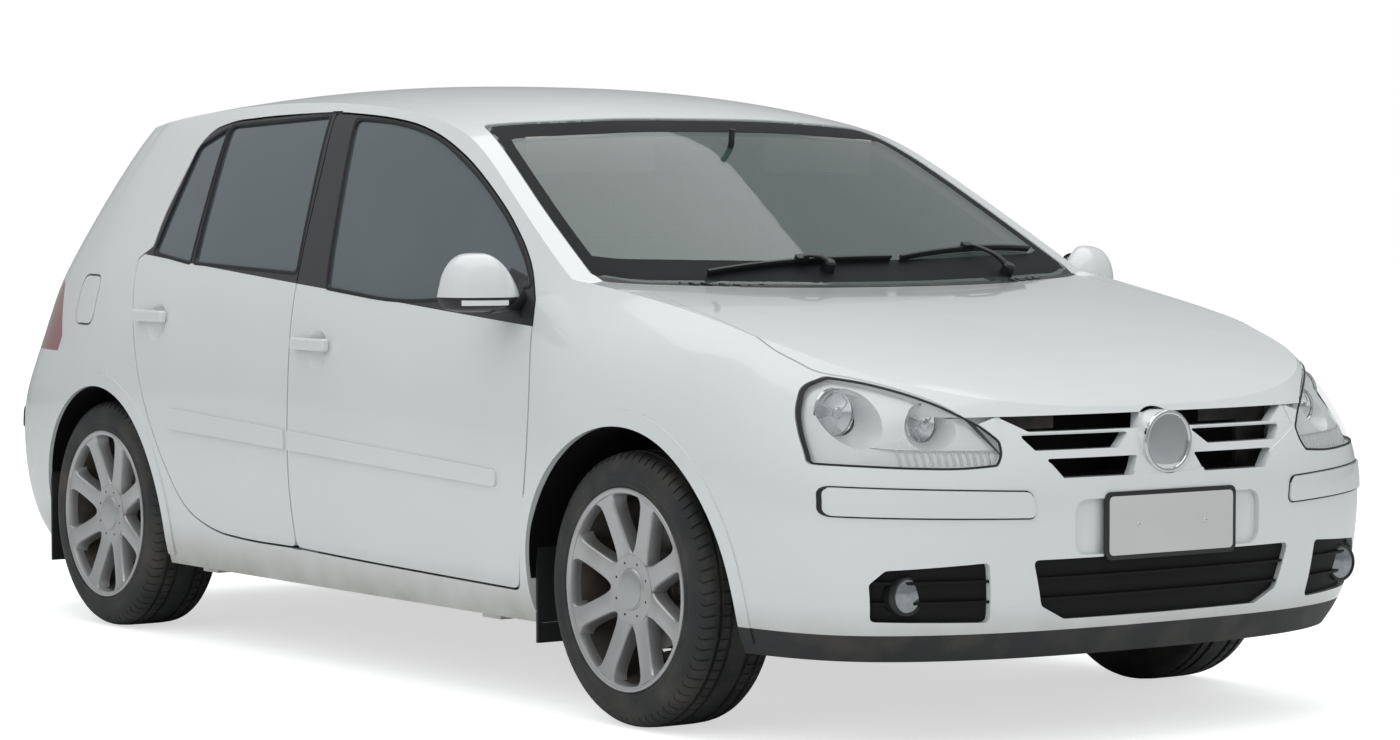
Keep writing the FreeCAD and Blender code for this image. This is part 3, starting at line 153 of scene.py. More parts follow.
alloy = grain_look("alloy_lacquer", (0.5, 0.5, 0.505), 0.34, shade=0.06, scale=8, grain=(0.04, 900),
                   dirt=((0.16, 0.12, 0.09), 0.55, 0.85, 0.35), metal=0.75, coat=0.4, coat_rough=0.12)
# Rim barrel: brake dust with painted shade, far darker than the alloy, deep inside the wheel
shaded_dusty_alloy = grain_look("brake_dust_and_shade", (0.13, 0.115, 0.1), 0.6, shade=0.25, scale=14, grain=(0.2, 300),
                         dirt=((0.045, 0.034, 0.027), 0.35, 0.62, 0.9), metal=0.35)
chrome = grain_look("chrome", (0.72, 0.73, 0.74), 0.07, shade=0.03, metal=1.0)
steel = grain_look("turned_steel", (0.32, 0.31, 0.3), 0.38, shade=0.18, scale=20, metal=1.0)
cast_metal = grain_look("cast_metal", (0.11, 0.1, 0.095), 0.62, shade=0.3, scale=10, grain=(0.4, 220),
                        dirt=((0.12, 0.07, 0.04), 0.5, 0.8, 0.4), metal=0.4)
badge_face = grain_look("badge_face", (0.46, 0.47, 0.48), 0.32, shade=0.03, metal=0.8, coat=0.5)
reflector = grain_look("reflector", (0.9, 0.91, 0.92), 0.1, shade=0.05, scale=30, metal=0.95)
bowl_silver = grain_look("bowl_silver", (0.84, 0.855, 0.86), 0.3, shade=0.03, scale=10, metal=0.25)
clear_lens = grain_look("clear_lens", (0.3, 0.32, 0.33), 0.03, shade=0.02, alpha=0.07, ior=1.5, coat=1.0,
                        coat_rough=0.02)
red_lens = grain_look("red_lens", (0.24, 0.005, 0.008), 0.1, shade=0.1, grain=(0.05, 300), coat=1.0,
                      coat_rough=0.03)
# Windscreen: green tint with a painted sky reflection, a grey-green haze at about half opacity
screen_glass = grain_look("screen_glass", (0.085, 0.138, 0.124), 0.02, shade=0.05, alpha=0.52, ior=1.52,
                          coat=1.0, coat_rough=0.01)
tinted_glass = grain_look("tinted_glass", (0.07, 0.098, 0.108), 0.02, shade=0.1, alpha=0.94, ior=1.52,
                          coat=1.0, coat_rough=0.01)
glass_border = grain_look("glass_border", (0.012, 0.013, 0.014), 0.6, shade=0.1, gloss=0.12)
cabin_plastic = grain_look("cabin_plastic", (0.04, 0.041, 0.043), 0.6, shade=0.12, grain=(0.3, 420))
light_trim = grain_look("light_trim", (0.42, 0.41, 0.385), 0.75, grain=(0.2, 500))
wheel_leather = grain_look("wheel_leather", (0.02, 0.02, 0.021), 0.45, shade=0.15, grain=(0.35, 350))
seat_cloth = weave_look("seat_cloth", (0.06, 0.062, 0.066))
seat_side = weave_look("seat_side", (0.028, 0.029, 0.031), thread=0.0011)
carpet = grain_look("carpet", (0.022, 0.022, 0.023), 0.95, shade=0.3, grain=(0.6, 700), sheen=0.3)
plate_white = grain_look("plate_face", (0.63, 0.64, 0.63), 0.3, shade=0.04, coat=0.4)
clear_bulb = grain_look("bulb_glass", (0.75, 0.78, 0.8), 0.05, shade=0.05, coat=1.0)
fog_glass = grain_look("fog_glass", (0.3, 0.32, 0.33), 0.06, shade=0.2, scale=60, metal=0.6, coat=1.0)
# Near-black, hardly glossy: painted shade behind the grille slots and in the wheel wells
painted_shade_black = grain_look("painted_shade_black", (0.006, 0.006, 0.006), 0.9, shade=0.3, gloss=0.1)
insert_black = grain_look("insert_black", (0.0075, 0.0075, 0.008), 0.6, shade=0.2, grain=(0.1, 600),
                          gloss=0.2)

SLOT_LOOKS = {
    "body_paint": paint, "underbody_paint": under_paint, "screen_glass": screen_glass,
    "tinted_glass": tinted_glass, "clear_lens": clear_lens, "lamp_bowl": bowl_silver, "red_lens": red_lens,
    "black_plastic": lip_plastic, "cabin_plastic": cabin_plastic, "wheel_leather": wheel_leather,
    "seat_fabric": seat_cloth, "cast_metal": cast_metal, "alloy": alloy, "tyre_rubber": tyre_rubber,
}


def shaded_and_soiled(look, colour, clear_height, darkest_height, top):
    """Painted shade near the ground mixed with road splash, thickening from a clear height down to the
    darkest one, broken up by noise.
    """
    web = Web(look)
    base = web.nodes["Principled BSDF"].inputs["Base Color"]
    place = web.add("TexCoord").outputs["Object"]
    height = web.add("SeparateXYZ", {"Vector": place}).outputs["Z"]
    depth = web.add("MapRange", {"From Min": clear_height, "From Max": darkest_height, "To Max": top, "Value": height})
    spread = web.add("TexNoise", {"Scale": 7.0, "Detail": 9.0, "Vector": place})
    share = web.product(depth.outputs["Result"], spread.outputs["Fac"])
    web.put(base, web.mixed(share, base.links[0].from_socket, colour + (1,)))


# The paint darkens towards the sill: painted shade near the ground, with road splash
shaded_and_soiled(paint, SPLASH_AND_LOW_SHADE, 0.33, 0.19, 1.3)

# Lower edge of the dark window frames: station and height at its rear and front ends
WAIST = ((-1.2, 1.0471), (0.86, 0.9019))


def framed_look(name, below, above):
    """Two looks on one panel, parted along the waist line."""
    look = below.copy()
    look.name = name
    web = Web(look)
    place = web.add("TexCoord").outputs["Object"]
    split = web.add("SeparateXYZ", {"Vector": place}).outputs
    (rear_x, rear_z), (nose_x, nose_z) = WAIST
    edge = web.add("MapRange", {"From Min": rear_x, "To Min": rear_z, "From Max": nose_x, "To Max": nose_z,
                                "Value": split["X"]})
    over = web.add("Math", {0: split["Z"], 1: edge.outputs["Result"]}, operation="GREATER_THAN").outputs[0]
    for socket, value in above.items():
        target = web.nodes["Principled BSDF"].inputs[socket]
        first = target.links[0].from_socket if target.links else target.default_value
        web.put(target, web.mixed(over, first, value, "FLOAT" if isinstance(value, float) else "RGBA"))
    return look


FRAME_DARK = {"Base Color": (0.03, 0.031, 0.034, 1.0), "Roughness": 0.42, "Coat Weight": 0.1}
door_paint = framed_look("door_paint", paint, FRAME_DARK)

for part in frame["record"]["subparts"]:
    name, slot = part["node"], part["material_slot"]
    look = SLOT_LOOKS[slot]
    if name == "lower_grille":
        look = insert_black
    elif name.startswith("door_") and slot == "body_paint":
        look = door_paint
    NODES[name].data.materials.clear()
    NODES[name].data.materials.append(look)


# Mesh helpers

class Shape:
    """Vertices and faces gathered from several surfaces."""

    def __init__(self):
        self.verts = []
        self.faces = []

    def add(self, verts, faces):
        base = len(self.verts)
        self.verts += [Vector(v) for v in verts]
        self.faces += [tuple(base + i for i in face) for face in faces]
        return self

    def rings(self, rings, closed=True, caps=False, joined=False):
        """Skin over rings of equal length; joined also links the last ring to the first."""
        count = len(rings[0])
        verts = [v for ring in rings for v in ring]
        faces = []
        spans = len(rings) if joined else len(rings) - 1
        for i in range(spans):
            a, b = i * count, ((i + 1) % len(rings)) * count
            for j in range(count if closed else count - 1):
                k = (j + 1) % count
                faces.append((a + j, a + k, b + k, b + j))
        if caps:
            last = (len(rings) - 1) * count
            faces += [tuple(range(count)), tuple(range(last, last + count))]
        return self.add(verts, faces)

    def moved(self, matrix):
        self.verts = [matrix @ v for v in self.verts]
        return self

    def twin(self):
        """The same surfaces mirrored to the other side of the car."""
        other = Shape()
        other.verts = [Vector((v.x, -v.y, v.z)) for v in self.verts]
        other.faces = [tuple(reversed(face)) for face in self.faces]
        return other

    def join(self, other):
        return self.add(other.verts, other.faces)


def set_up(name, data):
    """New object of the scene."""
    made = bpy.data.objects.new(name, data)
    bpy.context.scene.collection.objects.link(made)
    return made


def piece(name, shape, look, body="root", slot="black_plastic", sharp=32):
    """Makes the mesh object, smooth apart from its sharp edges, and lets it ride on a body."""
    mesh = bpy.data.meshes.new(name)
    mesh.from_pydata([tuple(v) for v in shape.verts], [], shape.faces)
    work = bmesh.new()
    work.from_mesh(mesh)
    bmesh.ops.remove_doubles(work, verts=work.verts, dist=MERGE)
    bmesh.ops.recalc_face_normals(work, faces=work.faces)
    work.to_mesh(mesh)
    work.free()
    mesh.polygons.foreach_set("use_smooth", [True] * len(mesh.polygons))
    mesh.set_sharp_from_angle(angle=radians(sharp))
    mesh.materials.append(look)
    made = set_up(name, mesh)
    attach(made, body)
    return made


def bent(value, power):
    """Power of a number that keeps its sign."""
    return copysign(abs(value) ** power, value)


def turns(count):
    """Angles evenly spaced round a circle."""
    return [2 * pi * i / count for i in range(count)]


def turned(profile, centre, axis, count, joined=False):
    """Surface of revolution from pairs of radius and distance along the axis."""
    normal = Vector(axis).normalized()
    first = AHEAD if abs(normal.y) > 0.99 else normal.orthogonal().normalized()
    second = normal.cross(first)
    ways = [first * cos(t) + second * sin(t) for t in turns(count)]
    rings = []
    for radius, along in profile:
        middle = Vector(centre) + normal * along
        rings.append([middle + way * max(radius, 0.00005) for way in ways])
    return Shape().rings(rings, joined=joined)


def swept(path, section, closed_path=False, up=UP, scales=None):
    """Section, as pairs across and up, carried along a path of points."""
    points = [Vector(p) for p in path]
    rings = []
    last = len(points) - 1
    for i, point in enumerate(points):
        if closed_path:
            tangent = points[(i + 1) % len(points)] - points[i - 1]
        else:
            tangent = points[min(i + 1, last)] - points[max(i - 1, 0)]
        tangent.normalize()
        across = tangent.cross(up).normalized()
        lift = across.cross(tangent)
        factor = scales[i] if scales else 1.0
        rings.append([point + across * (a * factor) + lift * (b * factor) for a, b in section])
    return Shape().rings(rings, joined=closed_path, caps=not closed_path)


def round_section(width, height, corner, steps=4):
    """Closed section with rounded corners, centred."""
    corner = min(corner, width / 2 - 1e-5, height / 2 - 1e-5)
    points = []
    for quarter in range(4):
        turn = quarter * pi / 2
        cx = (width / 2 - corner) * (1 if quarter in (0, 3) else -1)
        cy = (height / 2 - corner) * (1 if quarter in (0, 1) else -1)
        for i in range(steps + 1):
            angle = turn + i * pi / 2 / steps
            points.append((cx + corner * cos(angle), cy + corner * sin(angle)))
    return points


def oval(width, height, count, power=2.0):
    """Closed superellipse section."""
    share = 2 / power
    return [(bent(cos(t), share) * width / 2, bent(sin(t), share) * height / 2)
            for t in turns(count)]


def smooth_path(points, per_span):
    """Curve through the points, as a list of closer points."""
    pts = [Vector(p) for p in points]
    out = []
    for i in range(len(pts) - 1):
        p0, p1, p2, p3 = pts[max(i - 1, 0)], pts[i], pts[i + 1], pts[min(i + 2, len(pts) - 1)]
        for j in range(per_span):
            t = j / per_span
            out.append(0.5 * (2 * p1 + (p2 - p0) * t + (2 * p0 - 5 * p1 + 4 * p2 - p3) * t * t
                              + (3 * p1 - p0 - 3 * p2 + p3) * t ** 3))
    out.append(pts[-1])
    return out


def resampled(points, count):
    """Polyline of count points evenly spaced along the given one."""
    pts = [Vector(p).to_3d() for p in points]
    steps = [0.0]
    for a, b in zip(pts, pts[1:]):
        steps.append(steps[-1] + (b - a).length)
    out = []
    index = 0
    for i in range(count):
        want = steps[-1] * i / (count - 1)
        while index < len(pts) - 2 and steps[index + 1] < want:
            index += 1
        span = steps[index + 1] - steps[index] or 1.0
        out.append(pts[index].lerp(pts[index + 1], (want - steps[index]) / span))
    return out


# Small steps aside for a ray that slips between two faces
NUDGES = ((0.0, 0.0), (0.0005, 0.0003), (-0.0005, 0.0004), (0.0002, -0.0006), (-0.0015, -0.0012),
          (0.0016, 0.0014))


def caster(names, way, origin):
    """Function from two coordinates to a point on the skin of some nodes and its outward normal."""
    work = bmesh.new()
    for name in names:
        work.from_mesh(NODES[name].data)
    tree = BVHTree.FromBMesh(work)
    work.free()

    def hit(a, b):
        for shift_a, shift_b in NUDGES:
            start = origin(a + shift_a, b + shift_b)
            found = tree.ray_cast(start, way)[0]
            if found is not None:
                return found
        return tree.find_nearest(start + way * 0.8)[0]

    def cast(a, b):
        step = 0.006
        point = hit(a, b)
        run_a = hit(a + step, b) - hit(a - step, b)
        run_b = hit(a, b + step) - hit(a, b - step)
        normal = run_a.cross(run_b)
        if normal.length < 1e-9 or run_a.length > 0.05 or run_b.length > 0.05:
            normal = -way
        normal.normalize()
        if normal.dot(way) > 0:
            normal.negate()
        return point, normal

    return cast


def side_cast(names, side):
    """Looks at a side of the car from outside; coordinates are station and height."""
    return caster(names, -LEFT * side, lambda x, z: Vector((x, side * 1.6, z)))


def front_cast(names):
    return caster(names, -AHEAD, lambda y, z: Vector((3.2, y, z)))


def rear_cast(names):
    return caster(names, AHEAD, lambda y, z: Vector((-3.2, y, z)))


def top_cast(names):
    return caster(names, -UP, lambda x, y: Vector((x, y, 2.6)))


FLAT = (1.0,) * 9
CROWN = (0.3, 0.72, 0.93, 1.0, 1.0, 1.0, 0.93, 0.72, 0.3)
CROWN_ACROSS = (0.0, 0.06, 0.16, 0.3, 0.5, 0.7, 0.84, 0.94, 1.0)


def raised(cast, start, stop, crown, lift, sink):
    """Section between two places on the skin: a crowned top and a back sunk into the skin."""
    rise, base = [], []
    for v, share in zip(CROWN_ACROSS, crown):
        flat = start.lerp(stop, v)
        point, normal = cast(flat.x, flat.y)
        rise.append(point + normal * lift * share)
        base.append(point - normal * sink)
    return rise + base[::-1]


def patched(cast, lower, upper, lift, columns, ends):
    """Strip laid on the skin between two lines, lower towards its two ends."""
    low, high = resampled(lower, columns), resampled(upper, columns)
    length = sum((b - a).length for a, b in zip(low, low[1:]))
    rings = []
    for i in range(columns):
        along = length * min(i, columns - 1 - i) / (columns - 1)
        fall = min(1.0, 0.3 + 0.7 * sqrt(min(along / ends, 1.0)))
        rings.append(raised(cast, low[i], high[i], CROWN, lift * fall, 0.003))
    return Shape().rings(rings, caps=True)


# Wheels and tyres

SPOKES = 8
# Radius, half width and outward distance of the spoke's face; half width and distance of its back edge
SPOKE_ROWS = [
    (0.066, 0.036, 0.086, 0.042, 0.05), (0.078, 0.03, 0.0865, 0.036, 0.05),
    (0.088, 0.0262, 0.0872, 0.032, 0.051), (0.102, 0.024, 0.0885, 0.029, 0.053),
    (0.125, 0.023, 0.091, 0.028, 0.056), (0.155, 0.0226, 0.0945, 0.027, 0.06),
    (0.182, 0.0228, 0.098, 0.028, 0.064), (0.199, 0.024, 0.1005, 0.031, 0.066),
    (0.209, 0.0275, 0.102, 0.038, 0.068), (0.2155, 0.035, 0.103, 0.046, 0.07),
    (0.2195, 0.046, 0.1035, 0.056, 0.07),
]
# Profiles of turned shapes: radius and outward distance
RIM = [
    (0.2335, 0.1035), (0.234, 0.1065), (0.2325, 0.1088), (0.229, 0.1096), (0.2245, 0.1086), (0.221, 0.1058),
    (0.2192, 0.101), (0.218, 0.09), (0.216, 0.066), (0.212, 0.02), (0.208, -0.04), (0.21, -0.08),
    (0.224, -0.096), (0.2335, -0.1035), (0.2335, -0.108), (0.225, -0.108), (0.222, -0.1), (0.215, -0.084),
    (0.213, -0.04), (0.217, 0.02), (0.221, 0.066), (0.2225, 0.096),
]
BARREL = [
    (0.2165, 0.06), (0.2172, 0.07), (0.2186, 0.092), (0.2183, 0.092), (0.2155, 0.062), (0.2112, 0.018),
    (0.2072, -0.042), (0.209, -0.08), (0.21, -0.082), (0.2076, -0.041), (0.2118, 0.019),
]
CAP = [
    (0.0, 0.0915), (0.03, 0.0912), (0.0455, 0.0905), (0.047, 0.089), (0.0485, 0.0872), (0.052, 0.0868),
    (0.074, 0.089), (0.079, 0.089), (0.0812, 0.0876), (0.0818, 0.0845), (0.0818, 0.06),
]
CAP_DISC = [(0.0, 0.094), (0.022, 0.0938), (0.038, 0.093), (0.0432, 0.092), (0.044, 0.09)]
CAP_HOLE = [(0.0001, 0.0007), (0.0026, 0.0007), (0.0032, 0.0002), (0.0032, -0.002)]
HOLE_RING = 0.0635
BRAKE_DISC = [
    (0.066, -0.004), (0.066, 0.03), (0.078, 0.034), (0.084, 0.03), (0.086, 0.014), (0.14, 0.014),
    (0.1405, 0.0125), (0.1405, -0.0085), (0.14, -0.01), (0.084, -0.01),
]
BRAKE_HUB = [(0.0, 0.04), (0.06, 0.04), (0.066, 0.034), (0.066, -0.02)]
EASE = 0.0024


def spoke(turn):
    """One spoke about the hub, with a flat face, eased edges and drafted walls."""
    c, s = cos(turn), sin(turn)
    rings = []
    for radius, half, face, back_half, back in SPOKE_ROWS:
        one_side = [(back_half, back), (half + 0.0012, face - 0.006), (half, face - EASE),
                    (half - EASE, face), (0.4 * half, face + 0.001)]
        profile = [(-t, w) for t, w in one_side] + one_side[::-1]
        rings.append([Vector((radius * c - t * s, w, radius * s + t * c)) for t, w in profile])
    return rings


def hub_matrix(axle, side):
    """Puts a wheel drawn with +Y outward at its hub."""
    x, track, z = HUBS[axle]
    turn = Matrix.Identity(4) if side > 0 else Matrix.Rotation(pi, 4, "Z")
    return Matrix.Translation((x, side * track, z)) @ turn


def make_wheel(axle, side, word):
    body = f"wheel_{axle}_{word}"
    place = hub_matrix(axle, side)

    def spun(profile, count, joined=False, middle=(0, 0, 0)):
        return turned(profile, middle, LEFT, count, joined)

    def part(name, shape, look, sharp=32):
        return piece(f"{name}_{axle}_{word}", shape.moved(place), look, body, "alloy", sharp)

    rim = Shape()
    for turn in turns(SPOKES):
        rim.rings(spoke(turn + pi / SPOKES), caps=True)
    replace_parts(part("rim", rim.join(spun(RIM, 96, True)), alloy, 28), body)
    # The barrel's dark colour is brake dust with painted shade
    part("rim_barrel", spun(BARREL, 96, True), shaded_dusty_alloy)
    part("hub_cap", spun(CAP, 64), alloy, 20)
    part("cap_disc", spun(CAP_DISC, 48), badge_face)
    # The cap's holes are small dark discs in rubber black: painted shade inside each hole
    holes = Shape()
    for turn in turns(8):
        angle = turn + pi / 8
        middle = (HOLE_RING * cos(angle), 0.0878, HOLE_RING * sin(angle))
        holes.join(spun(CAP_HOLE, 16, False, middle))
    part("cap_holes", holes, rubber)
    part("brake_disc", spun(BRAKE_DISC, 72).join(spun(BRAKE_HUB, 48)), steel, 25)


PITCHES = 74
# Half of the tyre section: outward distance, radius; the grooves are marked by their depth
SIDEWALL = [
    (0.0965, 0.222), (0.102, 0.229), (0.1048, 0.2345), (0.1092, 0.2395), (0.11, 0.244), (0.1075, 0.249),
    (0.1088, 0.26), (0.1092, 0.262), (0.1086, 0.264), (0.1094, 0.27), (0.1078, 0.28), (0.104, 0.29),
    (0.099, 0.299),
]
SHOULDER = [(0.093, 0.306), (0.086, 0.3108), (0.078, 0.3136), (0.069, 0.3152)]
TREAD = [
    (0.0665, 0.3154), (0.065, 0.3085), (0.0575, 0.3085), (0.056, 0.3162), (0.046, 0.3167), (0.036, 0.3169),
    (0.034, 0.3095), (0.026, 0.3095), (0.024, 0.317), (0.012, 0.317),
]
INSIDE = [(0.09, 0.225), (0.1, 0.26), (0.098, 0.285), (0.08, 0.301)]
# Places along one pitch of the tread: share of the pitch and whether the cross groove is there
PITCH_STEPS = ((0.0, 0), (0.05, 1), (0.15, 1), (0.2, 0), (0.6, 0))
SHOULDER_CUT, RIB_CUT = 0.0042, 0.003


def make_tyre(axle, side, word):
    half = SIDEWALL + SHOULDER + TREAD
    profile = half + [(0.0, 0.317)] + [(-w, r) for w, r in reversed(half)]
    profile += [(-w, r) for w, r in INSIDE] + [(0.0, 0.306)] + INSIDE[::-1]
    pitch_turn = 2 * pi / PITCHES
    slant = 0.35 * pitch_turn
    rings = []
    for pitch in range(PITCHES):
        for share, cut in PITCH_STEPS:
            angle = (pitch + share) * pitch_turn
            ring = []
            for w, r in profile:
                deep = lean = 0.0
                if r > 0.2985 and 0.07 < abs(w) < 0.0995:
                    deep = SHOULDER_CUT * cut
                    lean = slant * (abs(w) - 0.07) / 0.03
                elif 0.035 < abs(w) < 0.057 and r > 0.312:
                    deep = RIB_CUT * cut
                    lean = slant * 0.5
                a = angle + copysign(lean, w)
                ring.append(Vector(((r - deep) * cos(a), w, (r - deep) * sin(a))))
            rings.append(ring)
    shape = Shape().rings(rings, joined=True).moved(hub_matrix(axle, side))
    body = f"wheel_{axle}_{word}"
    shown = piece(f"tyre_shape_{axle}_{word}", shape, tyre_rubber, body, "tyre_rubber", sharp=38)
    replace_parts(shown, f"tyre_{axle}_{word}")


for axle in HUBS:
    for word, side in SIDES:
        make_wheel(axle, side, word)
        make_tyre(axle, side, word)


# Side trim: window frames, mirror sails

def hull_of(points):
    """Convex outline round points in a plane, counter-clockwise."""
    ordered = sorted(set((round(a, 5), round(b, 5)) for a, b in points))
    outline = []
    for way in (ordered, ordered[::-1]):
        chain = []
        for p in way:
            while len(chain) > 1:
                (ax, ay), (bx, by) = chain[-2], chain[-1]
                if (bx - ax) * (p[1] - ay) - (by - ay) * (p[0] - ax) > 0:
                    break
                chain.pop()
            chain.append(p)
        outline += chain[:-1]
    return outline


def offset_ring(outline, distance, count):
    """The closed outline, evenly spaced and moved outward by a distance."""
    ring = resampled([Vector((a, b, 0)) for a, b in outline + outline[:1]], count + 1)[:-1]
    out = []
    for i, p in enumerate(ring):
        run = ring[(i + 1) % count] - ring[i - 1]
        out.append(p + Vector((run.y, -run.x, 0)).normalized() * distance)
    return out


def ring_strip(cast, outline, near, far, lift, crown=CROWN, sink=0.004, count=96):
    """Strip round a closed outline, between two distances outward of it, laid on the skin."""
    pairs = zip(offset_ring(outline, near, count), offset_ring(outline, far, count))
    return Shape().rings([raised(cast, a, b, crown, lift, sink) for a, b in pairs], joined=True)


def parts_of(name):
    """The separate surfaces of a CAD node, as lists of points."""
    work = bmesh.new()
    work.from_mesh(NODES[name].data)
    bmesh.ops.remove_doubles(work, verts=work.verts, dist=0.00001)
    left, groups = set(work.verts), []
    for first in work.verts:
        if first not in left:
            continue
        left.remove(first)
        stack, group = [first], []
        while stack:
            v = stack.pop()
            group.append(v.co.copy())
            for edge in v.link_edges:
                other = edge.other_vert(v)
                if other in left:
                    left.remove(other)
                    stack.append(other)
        groups.append(group)
    work.free()
    return groups


# The panes stand in a groove that takes them this far beyond the window opening
PANE_EDGE = 0.008
for word, side in SIDES:
    for door in ("front", "rear"):
        body, pane = f"door_{door}_{word}", f"door_glass_{door}_{word}"
        cast = side_cast([body, pane], side)
        groups = parts_of(pane)
        if door == "front":
            groups = [[p for group in groups for p in group]]
        trim = Shape()
        for group in groups:
            outline = hull_of([(p.x, p.z) for p in group])
            trim.join(ring_strip(cast, outline, 0.0012 - PANE_EDGE, 0.001, 0.0018, count=260))
        piece(f"window_trim_{body}", trim, rubber, body)
    body = f"door_front_{word}"
    cast = side_cast([body, f"door_glass_front_{word}"], side)
    low, high = [(0.6, 0.96), (0.765, 0.922)], [(0.65, 1.04), (0.728, 1.02)]
    sail = patched(cast, low, high, 0.003, 14, 0.01)
    piece(f"mirror_sail_{word}", sail, black_trim, body)

# Black arch liner with painted shade: a near-black band inside each wheel arch, behind the painted lip
ARCH_LIP, WIDEST, BAND_FOOT = 0.01, 0.885, 0.62
for word, side in SIDES:
    for axle, (x_mid, z_mid, radius) in ARCHES.items():
        cast = side_cast([f"fender_{word}", f"side_frame_{word}", "front_bumper", "rear_bumper"], side)
        middle = Vector((x_mid, 0, z_mid))
        inner, outer, deeper = [], [], []
        for k in range(73):
            turn = radians(2 + 176 * k / 72)
            out = Vector((cos(turn), 0, sin(turn)))
            near = middle + out * (radius + 0.006)
            edge = min(abs(cast(near.x, near.z)[0].y), WIDEST) - ARCH_LIP
            on_wall = middle + out * (radius - 0.0012)
            inner.append(on_wall + LEFT * side * BAND_FOOT)
            outer.append(on_wall + LEFT * side * edge)
            deeper.append(outer[-1] - out * 0.0015)
        piece(f"arch_band_{axle}_{word}", Shape().rings([inner, outer, deeper], closed=False), painted_shade_black)


# Door mirrors

MIRROR_IN, MIRROR_OUT = 0.846, 1.036
MIRROR_BACK, MIRROR_SWEEP, MIRROR_EDGE = 0.734, 0.04, 0.012
MIRROR_WAIST = 0.974
MIRROR_STEPS = 26
# Half height of the glass, and the height of its middle
FACE_HALF, FACE_MIDDLE = 0.052, 1.008


def mirror_row(share):
    """Distance from the middle, edge station, dome height, base depth and bulge at a share of the way out."""
    rise = sin(pi / 2 * min(share / 0.5, 1.0)) ** 0.8
    fall = max(1 - max((share - 0.5) / 0.5, 0.0) ** 3.4, 0.0) ** 0.5
    swell = max(rise * fall, 0.02)
    y = MIRROR_IN + (MIRROR_OUT - MIRROR_IN) * share
    edge = MIRROR_BACK - MIRROR_SWEEP * share + MIRROR_EDGE
    return y, edge, 0.104 * swell, 0.036 * swell ** 0.6, 0.012 + 0.066 * swell


def mirror_half(upward):
    """Dome above the waist of the right-hand mirror, or base below it."""
    rings = []
    for i in range(MIRROR_STEPS):
        y, edge, tall, deep, bulge = mirror_row(i / (MIRROR_STEPS - 1))
        height, inset = (tall, 0.0) if upward else (-deep, 0.004)
        ring = []
        for k in range(13):
            turn = pi / 2 * k / 12
            x = edge + max(bulge - inset, 0.002) * cos(turn) ** 0.75
            ring.append(Vector((x, -y, MIRROR_WAIST + height * sin(turn) ** 0.85)))
        for k in range(1, 5):
            turn = pi / 2 * (1 - k / 4)
            x = edge - MIRROR_EDGE * cos(turn)
            ring.append(Vector((x, -y, MIRROR_WAIST + height * sin(turn) ** 0.5)))
        rings.append(ring)
    return Shape().rings(rings, caps=True)


def mirror_parts(word, side):
    body = f"door_front_{word}"

    def part(name, shape, look, slot="black_plastic", sharp=32):
        return piece(f"mirror_{name}_{word}", shape if side < 0 else shape.twin(), look, body, slot, sharp)

    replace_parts(part("shell", mirror_half(True), paint, "body_paint", 40), f"mirror_{word}")
    part("base", mirror_half(False), black_trim, sharp=40)
    path = [(0.7, -0.785, 0.972), (0.715, -0.83, 0.968), (0.735, -0.87, 0.962), (0.742, -0.93, 0.958)]
    part("foot", swept(smooth_path(path, 5), oval(0.08, 0.046, 20, 2.8)), black_trim)
    rim = []
    for share, depth in ((1.0, 0.0), (0.96, -0.004), (0.9, -0.0045), (0.88, -0.001)):
        ring = []
        for t in turns(40):
            y = 0.944 + bent(cos(t), 0.55) * 0.078 * share
            back = MIRROR_BACK - MIRROR_SWEEP * (y - MIRROR_IN) / (MIRROR_OUT - MIRROR_IN)
            ring.append(Vector((back + depth, -y, FACE_MIDDLE + bent(sin(t), 0.6) * FACE_HALF * share)))
        rim.append(ring)
    part("rim", Shape().rings(rim), black_trim)
    behind = [p + AHEAD * 0.0008 for p in rim[3]]
    part("face", Shape().rings([rim[3], behind], caps=True), chrome)
    # Clear turn signal along the front of the base
    path = []
    for k in range(15):
        y, edge, tall, deep, bulge = mirror_row(0.3 + 0.58 * k / 14)
        path.append((edge + (bulge - 0.004) * 0.97, -y, MIRROR_WAIST - 0.0125))
    part("lamp", swept(path, round_section(0.007, 0.013, 0.003)), bowl_silver, "clear_lens")


for word, side in SIDES:
    mirror_parts(word, side)


# Seats: crowned cushions with bolsters, seams and a headrest

def cushion_shape(width, length, thick, bolster, seams, cross, power=5.0, pinch=0.1, rows=44, around=56):
    """Crowned closed pad along +Y, its top towards +Z; sides pull in between the corners."""
    rings = []
    for i in range(rows):
        v = bent(-1 + 2 * i / (rows - 1), 0.85)
        taper = max(max(1 - abs(v) ** power, 0.0) ** 0.4, 0.03)
        wide = width / 2 * (1 - pinch + pinch * min(taper * 1.1, 1) - 0.02 * (1 - v * v))
        ring = []
        for turn in turns(around):
            s = sin(turn)
            a = bent(cos(turn), 0.55) * wide
            b = bent(s, 0.6) * thick / 2 * taper
            if s > 0.05:
                share = abs(a) / (width / 2)
                rise = min(max((share - 0.52) / 0.3, 0), 1)
                b += bolster * rise * rise * (3 - 2 * rise) * taper
                b += 0.012 * (1 - min(share / 0.55, 1) ** 2) * taper
                for seam in seams:
                    b -= 0.006 * exp(-((share - seam) / 0.022) ** 2)
                for seam in cross:
                    if share < 0.62:
                        b -= 0.005 * exp(-((v - seam) / 0.02) ** 2)
            ring.append(Vector((a, v * length / 2, b)))
        rings.append(ring)
    return Shape().rings(rings, caps=True)


def lean(point, degrees):
    """Places a pad: tilt about the car's width from lying flat with its length pointing forward."""
    return (Matrix.Translation(point) @ Matrix.Rotation(-radians(degrees), 4, "Y")
            @ Matrix.Rotation(-pi / 2, 4, "Z"))


def pad_piece(name, shape, look, place, node=None):
    made = piece(name, shape.moved(place), look, "root", "seat_fabric", sharp=70)
    if node:
        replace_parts(made, node)


